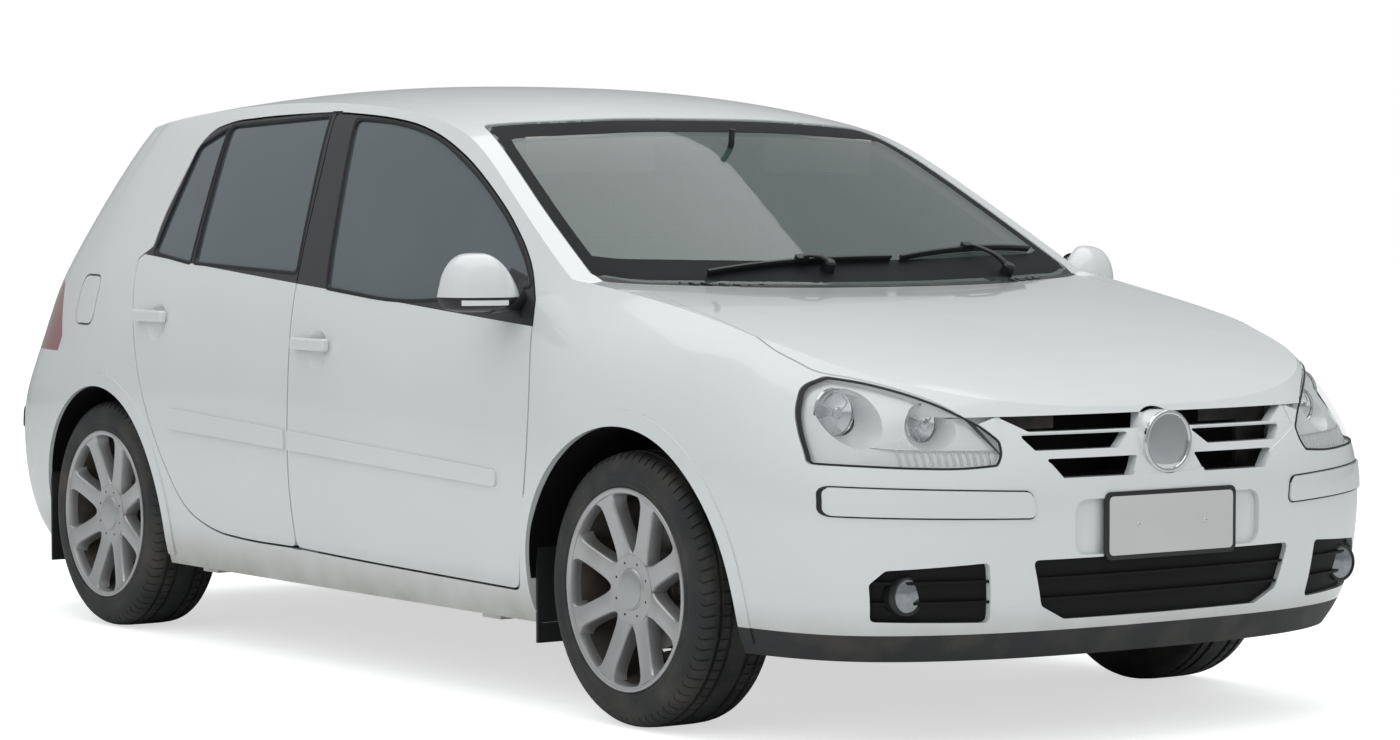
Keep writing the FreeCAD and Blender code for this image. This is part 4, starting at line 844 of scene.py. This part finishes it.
SEAT_HALF = 0.365
for word, side in SIDES:
    y = side * SEAT_HALF
    pad_piece(f"seat_cushion_{word}", cushion_shape(0.5, 0.47, 0.12, 0.035, (0.56,), (-0.35, 0.2)),
              seat_cloth, lean((0.035, y, 0.425), 8), f"front_seat_{word}")
    pad_piece(f"seat_back_{word}", cushion_shape(0.48, 0.64, 0.105, 0.04, (0.56,), (-0.5, 0.1, 0.62)),
              seat_cloth, lean((-0.315, y, 0.8), 109))
    pad_piece(f"headrest_{word}", cushion_shape(0.255, 0.165, 0.085, 0.0, (), (), 4.0, 0.18, 24, 40),
              seat_side, lean((-0.437, y, 1.205), 103))
    posts = Shape()
    for across in (-0.055, 0.055):
        posts.join(swept([(-0.4, y + across, 1.06), (-0.432, y + across, 1.16)], oval(0.012, 0.012, 12)))
    piece(f"headrest_posts_{word}", posts, chrome, slot="cast_metal")
    plinth = swept([(0.2, y, 0.305), (-0.19, y, 0.305)], round_section(0.4, 0.11, 0.03))
    for across in (-0.19, 0.19):
        rail = [(0.26, y + across, 0.246), (-0.26, y + across, 0.246)]
        plinth.join(swept(rail, round_section(0.03, 0.016, 0.004)))
    piece(f"seat_plinth_{word}", plinth, cabin_plastic, slot="cabin_plastic")
pad_piece("rear_cushion", cushion_shape(1.2, 0.5, 0.135, 0.01, (0.28, 0.64), (-0.3,), rows=36, around=96),
          seat_cloth, lean((-0.815, 0, 0.425), 7), "rear_seat")
pad_piece("rear_back", cushion_shape(1.2, 0.62, 0.11, 0.012, (0.3, 0.64), (0.0,), rows=36, around=96),
          seat_cloth, lean((-1.15, 0, 0.745), 112))
for index, y in enumerate((-0.38, 0.0, 0.38)):
    pad_piece(f"rear_headrest_{index}", cushion_shape(0.24, 0.13, 0.08, 0.0, (), (), 4.0, 0.18, 20, 36),
              seat_side, lean((-1.285, y, 1.09), 105))

# Steering wheel: rim, three spokes, centre pad
WHEEL_AT, WHEEL_TILT = Vector((0.4, -SEAT_HALF, 0.9)), radians(25)
RIM_RADIUS = 0.18
axis = Vector((-cos(WHEEL_TILT), 0, sin(WHEEL_TILT)))
up_way = LEFT.cross(axis)


def on_wheel(a, b, d):
    return WHEEL_AT + LEFT * a + up_way * b + axis * d


rim_path = [on_wheel(RIM_RADIUS * cos(t), RIM_RADIUS * sin(t), 0.0) for t in turns(64)]
rim = swept(rim_path, oval(0.029, 0.026, 14), closed_path=True, up=axis)
for degrees in (8, 172, 270):
    c, s = cos(radians(degrees)), sin(radians(degrees))
    inner = on_wheel(0.05 * c, 0.05 * s - 0.01, -0.012)
    outer = on_wheel(0.178 * c, 0.178 * s, -0.002)
    middle = (inner + outer) / 2 - axis * 0.008
    rim.join(swept(smooth_path([inner, middle, outer], 4), round_section(0.052, 0.016, 0.006), up=axis,
                   scales=[1.15, 1.1, 1.05, 1.0, 0.95, 0.9, 0.85, 0.8, 0.8]))
shown = piece("steering_rim", rim, wheel_leather, "steering_wheel", "wheel_leather")
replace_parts(shown, "steering_wheel")
PAD_ROWS = ((0.9, -0.03), (1.0, -0.012), (1.0, 0.004), (0.92, 0.016), (0.7, 0.022), (0.3, 0.024),
            (0.02, 0.0245))
rings = []
for share, lift in PAD_ROWS:
    ring = oval(0.156 * share, 0.124 * share, 40, 2 / 0.7)
    rings.append([on_wheel(a, b - 0.004, lift) for a, b in ring])
hub_pad = Shape().rings(rings, caps=True)
hub_pad.join(swept([on_wheel(0, 0, -0.02), on_wheel(0, 0, -0.146)], oval(0.044, 0.044, 20), up=LEFT))
piece("steering_pad", hub_pad, cabin_plastic, "steering_wheel", "wheel_leather")


# Nose: lamps, grille, badge, fog lamps, strips and plates

# Foot of each reflector: station, distance from the middle, height, radius, dish depth
LENS_PLACES = [(1.785, 0.701, 0.742, 0.052, 0.022), (1.92, 0.567, 0.72, 0.041, 0.018)]
BULB_CAP = [(0.0005, 0.0195), (0.01, 0.019), (0.0125, 0.0165), (0.0125, 0.012), (0.0105, 0.011),
            (0.0105, 0.016)]
# Upright ribs of the turn signal: count, place of the outermost, spacing, heights
RIBS, RIB_OUT, RIB_STEP, RIB_FOOT, RIB_TOP = 13, 0.655, 0.0155, 0.633, 0.6655
SHELF = ((0.7, 0.6715), (0.659, 0.6672), (0.6, 0.665), (0.52, 0.6628), (0.452, 0.6612))


def dish(radius, depth):
    """Bowl profile from its rim to its middle."""
    ball = (radius ** 2 + depth ** 2) / (2 * depth)
    steps = [radius * k / 10 for k in range(10, -1, -1)]
    return [(r, ball - sqrt(ball ** 2 - r ** 2) - depth) for r in steps]


def lamp_ring(radius):
    """Profile of the bright ring at a reflector's rim."""
    return [(radius + 0.0005, -0.003), (radius + 0.0035, 0.001), (radius + 0.003, 0.006), (radius, 0.007),
            (radius - 0.002, 0.004), (radius - 0.002, -0.002)]


def lamp_parts(word, side):
    bowls, rings, bulbs, caps = Shape(), Shape(), Shape(), Shape()
    for x, y, z, radius, depth in LENS_PLACES:
        centre = Vector((x, side * y, z))
        bowls.join(turned([(r, d + 0.0015) for r, d in dish(radius - 0.001, depth)], centre, AHEAD, 56))
        rings.join(turned(lamp_ring(radius), centre, AHEAD, 56, joined=True))
        bulb = [(0.0005, 0.016), (0.006, 0.0155), (0.0085, 0.013), (0.009, 0.004), (0.009, -depth)]
        bulbs.join(turned(bulb, centre, AHEAD, 28))
        caps.join(turned(BULB_CAP, centre, AHEAD, 28))
        for turn in (0.5, 2.6, 4.7):
            way = Vector((0, cos(turn), sin(turn)))
            foot = centre + AHEAD * 0.014 + way * 0.011
            rim = centre - AHEAD * 0.004 + way * (radius - 0.004)
            path = [foot, foot.lerp(rim, 0.5) + AHEAD * 0.004, rim]
            caps.join(swept(path, round_section(0.003, 0.002, 0.0008), up=AHEAD))
    for name, shape, look in (("bowls", bowls, reflector), ("rings", rings, chrome),
                              ("bulbs", bulbs, clear_bulb), ("caps", caps, chrome)):
        piece(f"lamp_{name}_{word}", shape, look, slot="lamp_bowl")
    # Turn signal strip below the reflectors: upright ribs under a bright line
    ribs = Shape()
    cast = front_cast(["headlamps"])
    for k in range(RIBS):
        y = side * (RIB_OUT - RIB_STEP * k)
        high = RIB_TOP - 0.0004 * k
        path = [cast(y, RIB_FOOT + (high - RIB_FOOT) * t / 4)[0] + AHEAD * 0.0008 for t in range(5)]
        ribs.join(swept(path, round_section(0.0075, 0.003, 0.0014), up=AHEAD))
    piece(f"signal_ribs_{word}", ribs, reflector, slot="lamp_bowl")
    shelf = smooth_path([cast(side * y, z)[0] + AHEAD * 0.002 for y, z in SHELF], 5)
    shape = swept(shelf, round_section(0.0045, 0.006, 0.0015), up=AHEAD)
    piece(f"lamp_shelf_{word}", shape, chrome, slot="lamp_bowl")


for word, side in SIDES:
    lamp_parts(word, side)
    cast = front_cast(["headlamp_lenses", "front_bumper", f"fender_{word}", "bonnet"])
    for group in parts_of("headlamp_lenses"):
        if sum(p.y for p in group) * side > 0:
            outline = hull_of([(p.y, p.z) for p in group])
            seal = ring_strip(cast, outline, -0.0055, -0.0012, 0.001, sink=0.002)
            piece(f"lamp_seal_{word}", seal, rubber)

# Painted web behind the corner where bonnet, lamp and bumper meet
cast = front_cast(["bonnet", "front_bumper", "headlamps"])
for word, side in SIDES:
    web = []
    for k in range(7):
        y = side * (0.43 + 0.085 * k / 6)
        x = min(cast(y, z)[0].x for z in (0.742, 0.752)) - 0.007
        web.append([Vector((x, y, z)) for z in (0.7, 0.722, 0.746)])
    piece(f"nose_web_{word}", Shape().rings(web, closed=False), paint, slot="body_paint")

# Painted shade behind the grille slots: two near-black sheets that follow the bonnet's front edge
SHADE_SHEET_HALF, SHADE_SHEET_LOW, SHADE_SHEET_HIGH, SHADE_SHEET_DEPTH, BONNET_EDGE = 0.43, 0.604, 0.738, 0.075, 0.745
cast = front_cast(["bonnet"])
columns = []
for i in range(25):
    y = SHADE_SHEET_HALF * (2 * i / 24 - 1)
    x = cast(y, BONNET_EDGE)[0].x - SHADE_SHEET_DEPTH
    columns.append([Vector((x, y, SHADE_SHEET_LOW)), Vector((x, y, SHADE_SHEET_HIGH))])
shape = Shape().rings(columns, closed=False)
shape.join(Shape().rings([[p - AHEAD * 0.004 for p in column] for column in columns], closed=False))
piece("grille_shade", shape, painted_shade_black)

# Round badge place: bright ring and plain disc
BADGE_HEIGHT = 0.669
cast = front_cast(["upper_grille"])
badge = cast(0.0, BADGE_HEIGHT)[0] + AHEAD * 0.0025
badge.y, badge.z = 0.0, BADGE_HEIGHT
BADGE_RING = [(0.06, -0.004), (0.06, 0.003), (0.0615, 0.0052), (0.065, 0.0062), (0.0685, 0.0052),
              (0.07, 0.003), (0.07, -0.004)]
BADGE_DISC = [(0.0001, 0.0022), (0.03, 0.002), (0.05, 0.001), (0.0602, -0.0006), (0.0602, -0.003)]
piece("badge_ring", turned(BADGE_RING, badge, AHEAD, 72), chrome)
piece("badge_disc", turned(BADGE_DISC, badge, AHEAD, 72), badge_face)

# Fine bead along the upper grille bar on each side of the badge
BEAD_HEIGHT, BEAD_IN, BEAD_LONG = 0.6965, 0.105, 0.28
beads = Shape()
for side in (-1, 1):
    places = [side * (BEAD_IN + BEAD_LONG * k / 8) for k in range(9)]
    path = [cast(y, BEAD_HEIGHT)[0] + AHEAD * 0.001 for y in places]
    beads.join(swept(path, round_section(0.0022, 0.003, 0.0008), up=AHEAD))
piece("grille_beads", beads, paint, slot="body_paint")

# Fog lamps: bezel and lens in each lower corner box
FOG_Y, FOG_Z = 0.65, 0.354
FOG_BEZEL = [(0.036, -0.002), (0.0365, 0.0025), (0.04, 0.0035), (0.0425, 0.0018), (0.043, -0.012)]
FOG_LENS = [(0.0001, 0.0042), (0.015, 0.0036), (0.027, 0.002), (0.0365, 0.0002), (0.0365, -0.001)]
cast = front_cast(["lower_grille"])
for word, side in SIDES:
    centre = (cast(side * FOG_Y, FOG_Z)[0].x, side * FOG_Y, FOG_Z)
    piece(f"fog_bezel_{word}", turned(FOG_BEZEL, centre, AHEAD, 48), black_trim)
    piece(f"fog_lens_{word}", turned(FOG_LENS, centre, AHEAD, 48), fog_glass, slot="clear_lens")

# Blank plates in their frames
PLATE_W, PLATE_H = 0.372, 0.134


def plate(name, cast, z_middle, way):
    """Flat plate with rounded corners, held by a dark frame."""
    reach = [cast(y, z_middle + z)[0].x * way for y in (-0.18, 0.0, 0.18) for z in (-0.06, 0.06)]
    middle = Vector((way * (max(reach) + 0.0015), 0.0, z_middle))
    outline = round_section(PLATE_W, PLATE_H, 0.012, 5)
    border = round_section(PLATE_W + 0.016, PLATE_H + 0.016, 0.016, 5)
    inner = round_section(PLATE_W - 0.004, PLATE_H - 0.004, 0.011, 5)
    eased_edge = [(a * 0.994, b * 0.985) for a, b in inner]

    def stack(*rows):
        rings = [[middle + Vector((way * lift, a, b)) for a, b in points] for points, lift in rows]
        return Shape().rings(rings, caps=True)

    back = stack((border, -0.006), (border, 0.002), (outline, 0.0024))
    piece(f"{name}_frame", back, black_trim, sharp=25)
    front = stack((inner, 0.0018), (inner, 0.0034), (eased_edge, 0.0038))
    piece(f"{name}_face", front, plate_white, slot="body_paint", sharp=25)
    studs = Shape()
    for a in (-0.1, 0.1):
        stud = [(0.0001, 0.0022), (0.0035, 0.0018), (0.0048, 0.0)]
        studs.join(turned(stud, middle + Vector((way * 0.0038, a, 0)), (way, 0, 0), 16))
    piece(f"{name}_studs", studs, chrome)


plate("front_plate", front_cast(["front_bumper"]), 0.49, 1)
plate("rear_plate", rear_cast(["rear_bumper"]), 0.47, -1)

# Dark line round each raised strip of the bumpers
STRIP = [(0.799, 0.531), (0.64, 0.526), (0.38, 0.519), (0.39, 0.571), (0.64, 0.58), (0.797, 0.587)]


def eased(outline, radius):
    """Rounds the corners of a closed outline with short curves."""
    out = []
    count = len(outline)
    for i in range(count):
        before, here, after = (Vector(outline[(i + k) % count]) for k in (-1, 0, 1))
        start = here + (before - here).normalized() * min(radius, (before - here).length / 2.2)
        stop = here + (after - here).normalized() * min(radius, (after - here).length / 2.2)
        for k in range(9):
            t = k / 8
            out.append(tuple(start * (1 - t) ** 2 + here * 2 * t * (1 - t) + stop * t * t))
    return out


for name, maker in (("front", front_cast), ("rear", rear_cast)):
    cast = maker([f"{name}_bumper"])
    lines = Shape()
    for side in (-1, 1):
        outline = eased(hull_of([(side * y, z) for y, z in STRIP]), 0.014)
        lines.join(ring_strip(cast, outline, 0.0026, 0.0052, 0.001, FLAT, sink=0.001, count=220))
    piece(f"{name}_strip_line", lines, rubber)


# Windscreen: dark printed border, wipers

def border_band(name, cast, pane, widths, body, slot):
    """Band inside a pane's edge whose width changes from its foot over its sides to its top."""
    outline = hull_of([(p.y, p.z) for group in parts_of(pane) for p in group])
    count = 120
    edge = offset_ring(outline, -0.004, count)
    low, high = min(p.y for p in edge), max(p.y for p in edge)
    rings = []
    for i, p in enumerate(edge):
        run = (edge[(i + 1) % count] - edge[i - 1]).normalized()
        inward = Vector((-run.y, run.x, 0))
        share = (p.y - low) / (high - low)
        flatness = abs(run.x)
        width = (widths[0] * (1 - share) + widths[2] * share) * flatness + widths[1] * (1 - flatness)
        ring = []
        for v in range(5):
            q = p + inward * width * v / 4
            point, normal = cast(q.x, q.y)
            ring.append(point + normal * 0.0007)
        rings.append(ring)
    piece(name, Shape().rings(rings, closed=False, joined=True), glass_border, body, slot)
    return outline


cast = front_cast(["windscreen"])
border_band("screen_border", cast, "windscreen", (0.06, 0.02, 0.03), "root", "screen_glass")

BLADE = [(-0.004, 0.0), (-0.001, -0.004), (-0.0007, -0.011), (0.0007, -0.011), (0.001, -0.004), (0.004, 0.0),
         (0.003, 0.006), (-0.003, 0.006)]
# Rise of the arm at shares of its length
ARM = ((0.0, 0.0), (0.35, 0.012), (0.8, 0.008), (1.0, 0.0))
PIVOT_CAP = [(0.0001, 0.03), (0.012, 0.029), (0.016, 0.024), (0.017, 0.0), (0.017, -0.01)]


def wiper(name, pivot, tip_a, tip_b, cast, body="root"):
    """Arm from a pivot to the middle of a blade that lies on the glass."""
    found = [cast(*Vector(tip_a).lerp(Vector(tip_b), k / 14)) for k in range(15)]
    lifted = [p + n * 0.012 for p, n in found]
    blade_up = found[7][1]
    shape = swept(lifted, BLADE, up=blade_up)
    middle = lifted[7] + blade_up * 0.01
    base, arm_up = cast(*pivot)
    start = base + arm_up * 0.02
    path = [start.lerp(middle, share) + arm_up * lift for share, lift in ARM]
    shape.join(swept(smooth_path(path, 5), round_section(0.016, 0.008, 0.003), up=arm_up,
                     scales=[1.4 - 0.9 * k / 15 for k in range(16)]))
    shape.join(turned(PIVOT_CAP, base, arm_up, 24))
    clip = [middle - blade_up * 0.008, middle + blade_up * 0.003]
    shape.join(swept(clip, round_section(0.02, 0.034, 0.004), up=LEFT))
    piece(name, shape, black_trim, body)


cast = top_cast(["windscreen", "cowl_panel"])
wiper("wiper_left", (1.012, 0.44), (0.985, 0.12), (0.86, 0.64), cast)
wiper("wiper_right", (1.02, -0.13), (0.995, -0.47), (0.985, 0.09), cast)

# Cowl: grille slats at the foot of the screen
SLATS, COWL_HALF = 34, 0.56
slats = Shape()
cast = top_cast(["cowl_panel"])
for k in range(SLATS):
    y = COWL_HALF * (2 * k / (SLATS - 1) - 1)
    found = [cast(x, y)[0] for x in (1.035, 1.048, 1.06)]
    if max(p.z for p in found) - min(p.z for p in found) < 0.02:
        slats.join(swept([p + UP * 0.001 for p in found], round_section(0.012, 0.003, 0.001)))
piece("cowl_slats", slats, black_trim)

# Lock barrels beside the front door handles
LOCK = [(0.0001, 0.003), (0.006, 0.0028), (0.0066, 0.0018), (0.01, 0.0022), (0.0105, 0.0), (0.0105, -0.003)]
LOCK_STATION, LOCK_HEIGHT = -0.262, 0.832
for word, side in SIDES:
    body = f"door_front_{word}"
    point, normal = side_cast([body], side)(LOCK_STATION, LOCK_HEIGHT)
    piece(f"door_lock_{word}", turned(LOCK, point, normal, 28), chrome, body, "body_paint")

# Rear: glass border, wiper, handle, badge place, tailpipe trim
cast = rear_cast(["tailgate_glass"])
widths = (0.04, 0.03, 0.03)
outline = border_band("rear_glass_border", cast, "tailgate_glass", widths, "tailgate", "tinted_glass")
low = min(z for y, z in outline)
wiper("rear_wiper", (0.0, low + 0.012), (-0.02, low + 0.045), (-0.38, low + 0.06), cast, "tailgate")
HANDLE_HALF, HANDLE_HEIGHT, GATE_BADGE_HEIGHT = 0.075, 0.76, 0.86
cast = rear_cast(["tailgate"])
path = [cast(HANDLE_HALF * (k / 4 - 1), HANDLE_HEIGHT)[0] - AHEAD * 0.004 for k in range(9)]
piece("gate_handle", swept(path, round_section(0.02, 0.01, 0.004), up=AHEAD), black_trim, "tailgate")
GATE_BADGE = [(0.0001, 0.004), (0.04, 0.0036), (0.046, 0.0052), (0.052, 0.0045), (0.054, 0.0),
              (0.054, -0.004)]
shape = turned(GATE_BADGE, cast(0.0, GATE_BADGE_HEIGHT)[0], (-1, 0, 0.1), 56)
piece("gate_badge", shape, badge_face, "tailgate", "body_paint")
PIPE_END = (-2.1005, 0.43, 0.176)
PIPE_TRIM = [(0.0185, 0.02), (0.019, -0.001), (0.0205, -0.003), (0.0222, -0.0005), (0.0228, 0.01),
             (0.0228, 0.045)]
piece("tailpipe_trim", turned(PIPE_TRIM, PIPE_END, AHEAD, 36), chrome, slot="cast_metal")

# Boot sides: carpeted walls inside the rear wheel arches
BOOT_HALF, BOOT_FOOT, BOOT_ROOM = 0.612, 0.3, 0.004
x_mid, z_mid, radius = ARCHES["rear"]
for word, side in SIDES:
    columns = []
    for k in range(49):
        turn = pi * k / 48
        x = x_mid + (radius + BOOT_ROOM) * cos(turn)
        top = z_mid + (radius + BOOT_ROOM) * sin(turn)
        columns.append([Vector((x, side * BOOT_HALF, z)) for z in (BOOT_FOOT, top)])
    piece(f"boot_side_{word}", Shape().rings(columns, closed=False), carpet, slot="cabin_plastic")

# Front springs round the struts
COIL_R, COIL_Y, COIL_FOOT, COIL_TALL, COIL_TURNS = 0.0295, 0.572, 0.452, 0.18, 5
for word, side in SIDES:
    middle = Vector((HUBS["front"][0], side * COIL_Y, COIL_FOOT))
    coil = []
    for k in range(181):
        turn = 2 * pi * COIL_TURNS * k / 180
        coil.append(middle + Vector((COIL_R * cos(turn), COIL_R * sin(turn), COIL_TALL * k / 180)))
    piece(f"front_spring_{word}", swept(coil, oval(0.008, 0.008, 10)), rubber, slot="cast_metal")

# Cabin: mirror, visors, belts, gauge hood
mirror_at = Vector((0.405, 0.0, 1.305))
rings = []
for share, lift in ((0.9, -0.012), (1.0, 0.0), (1.0, 0.012), (0.9, 0.024), (0.4, 0.028), (0.02, 0.0285)):
    ring = oval(0.236 * share, 0.066 * share, 36, 2 / 0.6)
    rings.append([mirror_at + Vector((lift, a, b)) for a, b in ring])
shape = Shape().rings(rings, caps=True)
stalk = [mirror_at + Vector(step) for step in ((0.022, 0, 0), (0.045, 0, 0.035), (0.05, 0, 0.075))]
piece("cabin_mirror", shape.join(swept(stalk, oval(0.016, 0.016, 12))), black_trim, slot="cabin_plastic")
VISOR = ((0.352, 0.175, 1.318), (0.346, 0.39, 1.316), (0.326, 0.545, 1.308))
BELT = ((-0.44, 0.69, 1.13), (-0.38, 0.66, 0.98), (-0.33, 0.64, 0.7), (-0.3, 0.64, 0.42))
for word, side in SIDES:
    visor = swept([(x, side * y, z) for x, y, z in VISOR], round_section(0.014, 0.098, 0.006, 5))
    piece(f"sun_visor_{word}", visor, light_trim, slot="cabin_plastic", sharp=50)
    belt = smooth_path([(x, side * y, z) for x, y, z in BELT], 6)
    shape = swept(belt, round_section(0.046, 0.0016, 0.0006), up=LEFT)
    piece(f"seat_belt_{word}", shape, seat_side, slot="seat_fabric")
hood_path = []
for k in range(13):
    c, s = cos(pi * k / 12), sin(pi * k / 12)
    hood_path.append((0.58 + 0.02 * s, 0.165 * c - SEAT_HALF, 0.945 + 0.062 * s))
hood = swept(hood_path, round_section(0.016, 0.105, 0.006), up=AHEAD)
piece("gauge_hood", hood, cabin_plastic, slot="cabin_plastic", sharp=50)


# Camera and light

bpy.context.scene.view_settings.view_transform = "Standard"
camera = set_up("camera", bpy.data.cameras.new("camera"))
camera.data.lens = 100.9
camera.data.sensor_width = 36.0
camera.location = (8.5386, -5.9188, 1.2337)
YAW, PITCH = 2.5178, -0.0467
forward = Vector((cos(PITCH) * cos(YAW), cos(PITCH) * sin(YAW), sin(PITCH)))
camera.rotation_mode = "QUATERNION"
camera.rotation_quaternion = forward.to_track_quat("-Z", "Y")
camera.data.clip_end = 200.0
bpy.context.scene.camera = camera

# White to the camera, while the body mirrors a darker ground and a sky that brightens upwards
HORIZON_STOPS = ((0.48, 0.34), (0.53, 0.62), (0.75, 0.88))
world = bpy.data.worlds.new("studio")
bpy.context.scene.world = world
web = Web(world)
web.nodes.clear()
seen = web.add("Background", {"Color": (1, 1, 1, 1), "Strength": 1.0})
way = web.add("SeparateXYZ", {"Vector": web.add("TexCoord").outputs["Generated"]})
height = web.add("MapRange", {"From Min": -1.0, "Value": way.outputs["Z"]})
ramp = web.add("ValToRGB", {"Fac": height.outputs["Result"]})
ground, zenith = ramp.color_ramp.elements
ground.position, ground.color = 0.0, (0.3, 0.31, 0.31, 1)
zenith.position, zenith.color = 1.0, (1.0, 1.0, 1.0, 1)
for position, level in HORIZON_STOPS:
    stop = ramp.color_ramp.elements.new(position)
    stop.color = (level * 0.97, level, level * 1.01, 1)
lit = web.add("Background", {"Color": ramp.outputs["Color"], "Strength": 0.6})
rays = web.add("LightPath").outputs["Is Camera Ray"]
mix = web.add("MixShader", {0: rays, 1: lit.outputs["Background"], 2: seen.outputs["Background"]})
web.add("OutputWorld", {"Surface": mix.outputs["Shader"]})

# The floor looks white to the camera without lighting the car from below
FLOOR_HALF, FLOOR_GLOW = 30.0, 0.62
floor_mesh = bpy.data.meshes.new("studio_floor")
corners = [(FLOOR_HALF * a, FLOOR_HALF * b, 0) for a, b in ((-1, -1), (1, -1), (1, 1), (-1, 1))]
floor_mesh.from_pydata(corners, [], [(0, 1, 2, 3)])
floor = set_up("studio_floor", floor_mesh)
floor_look = bpy.data.materials.new("studio_floor")
web = Web(floor_look)
matt = web.nodes["Principled BSDF"]
matt.inputs["Base Color"].default_value = (0.8, 0.81, 0.81, 1)
matt.inputs["Roughness"].default_value = 0.95
matt.inputs["Specular IOR Level"].default_value = 0.1
glow = web.product(web.add("LightPath").outputs["Is Camera Ray"], FLOOR_GLOW)
pale = web.add("Emission", {"Strength": glow})
both = web.add("AddShader", {0: matt.outputs["BSDF"], 1: pale.outputs["Emission"]})
web.put(web.nodes["Material Output"].inputs["Surface"], both.outputs["Shader"])
floor_mesh.materials.append(floor_look)


LAMPS = [
    ("overhead", (0.0, 0.0, 6.5), (0, 0, 0), 9.0, 230.0, True),
    ("near_side", (3.5, -7.5, 5.0), (0, 0, 0.6), 6.0, 120.0, False),
    ("nose", (9.0, 1.0, 4.5), (0, 0, 0.6), 5.0, 80.0, False),
]
for name, spot, target, width, power, mirrored_too in LAMPS:
    data = bpy.data.lights.new(name, "AREA")
    data.shape = "SQUARE"
    data.size = width
    data.energy = power
    lamp = set_up(name, data)
    lamp.location = spot
    lamp.visible_glossy = mirrored_too
    lamp.rotation_mode = "QUATERNION"
    lamp.rotation_quaternion = (Vector(target) - Vector(spot)).to_track_quat("-Z", "Y")
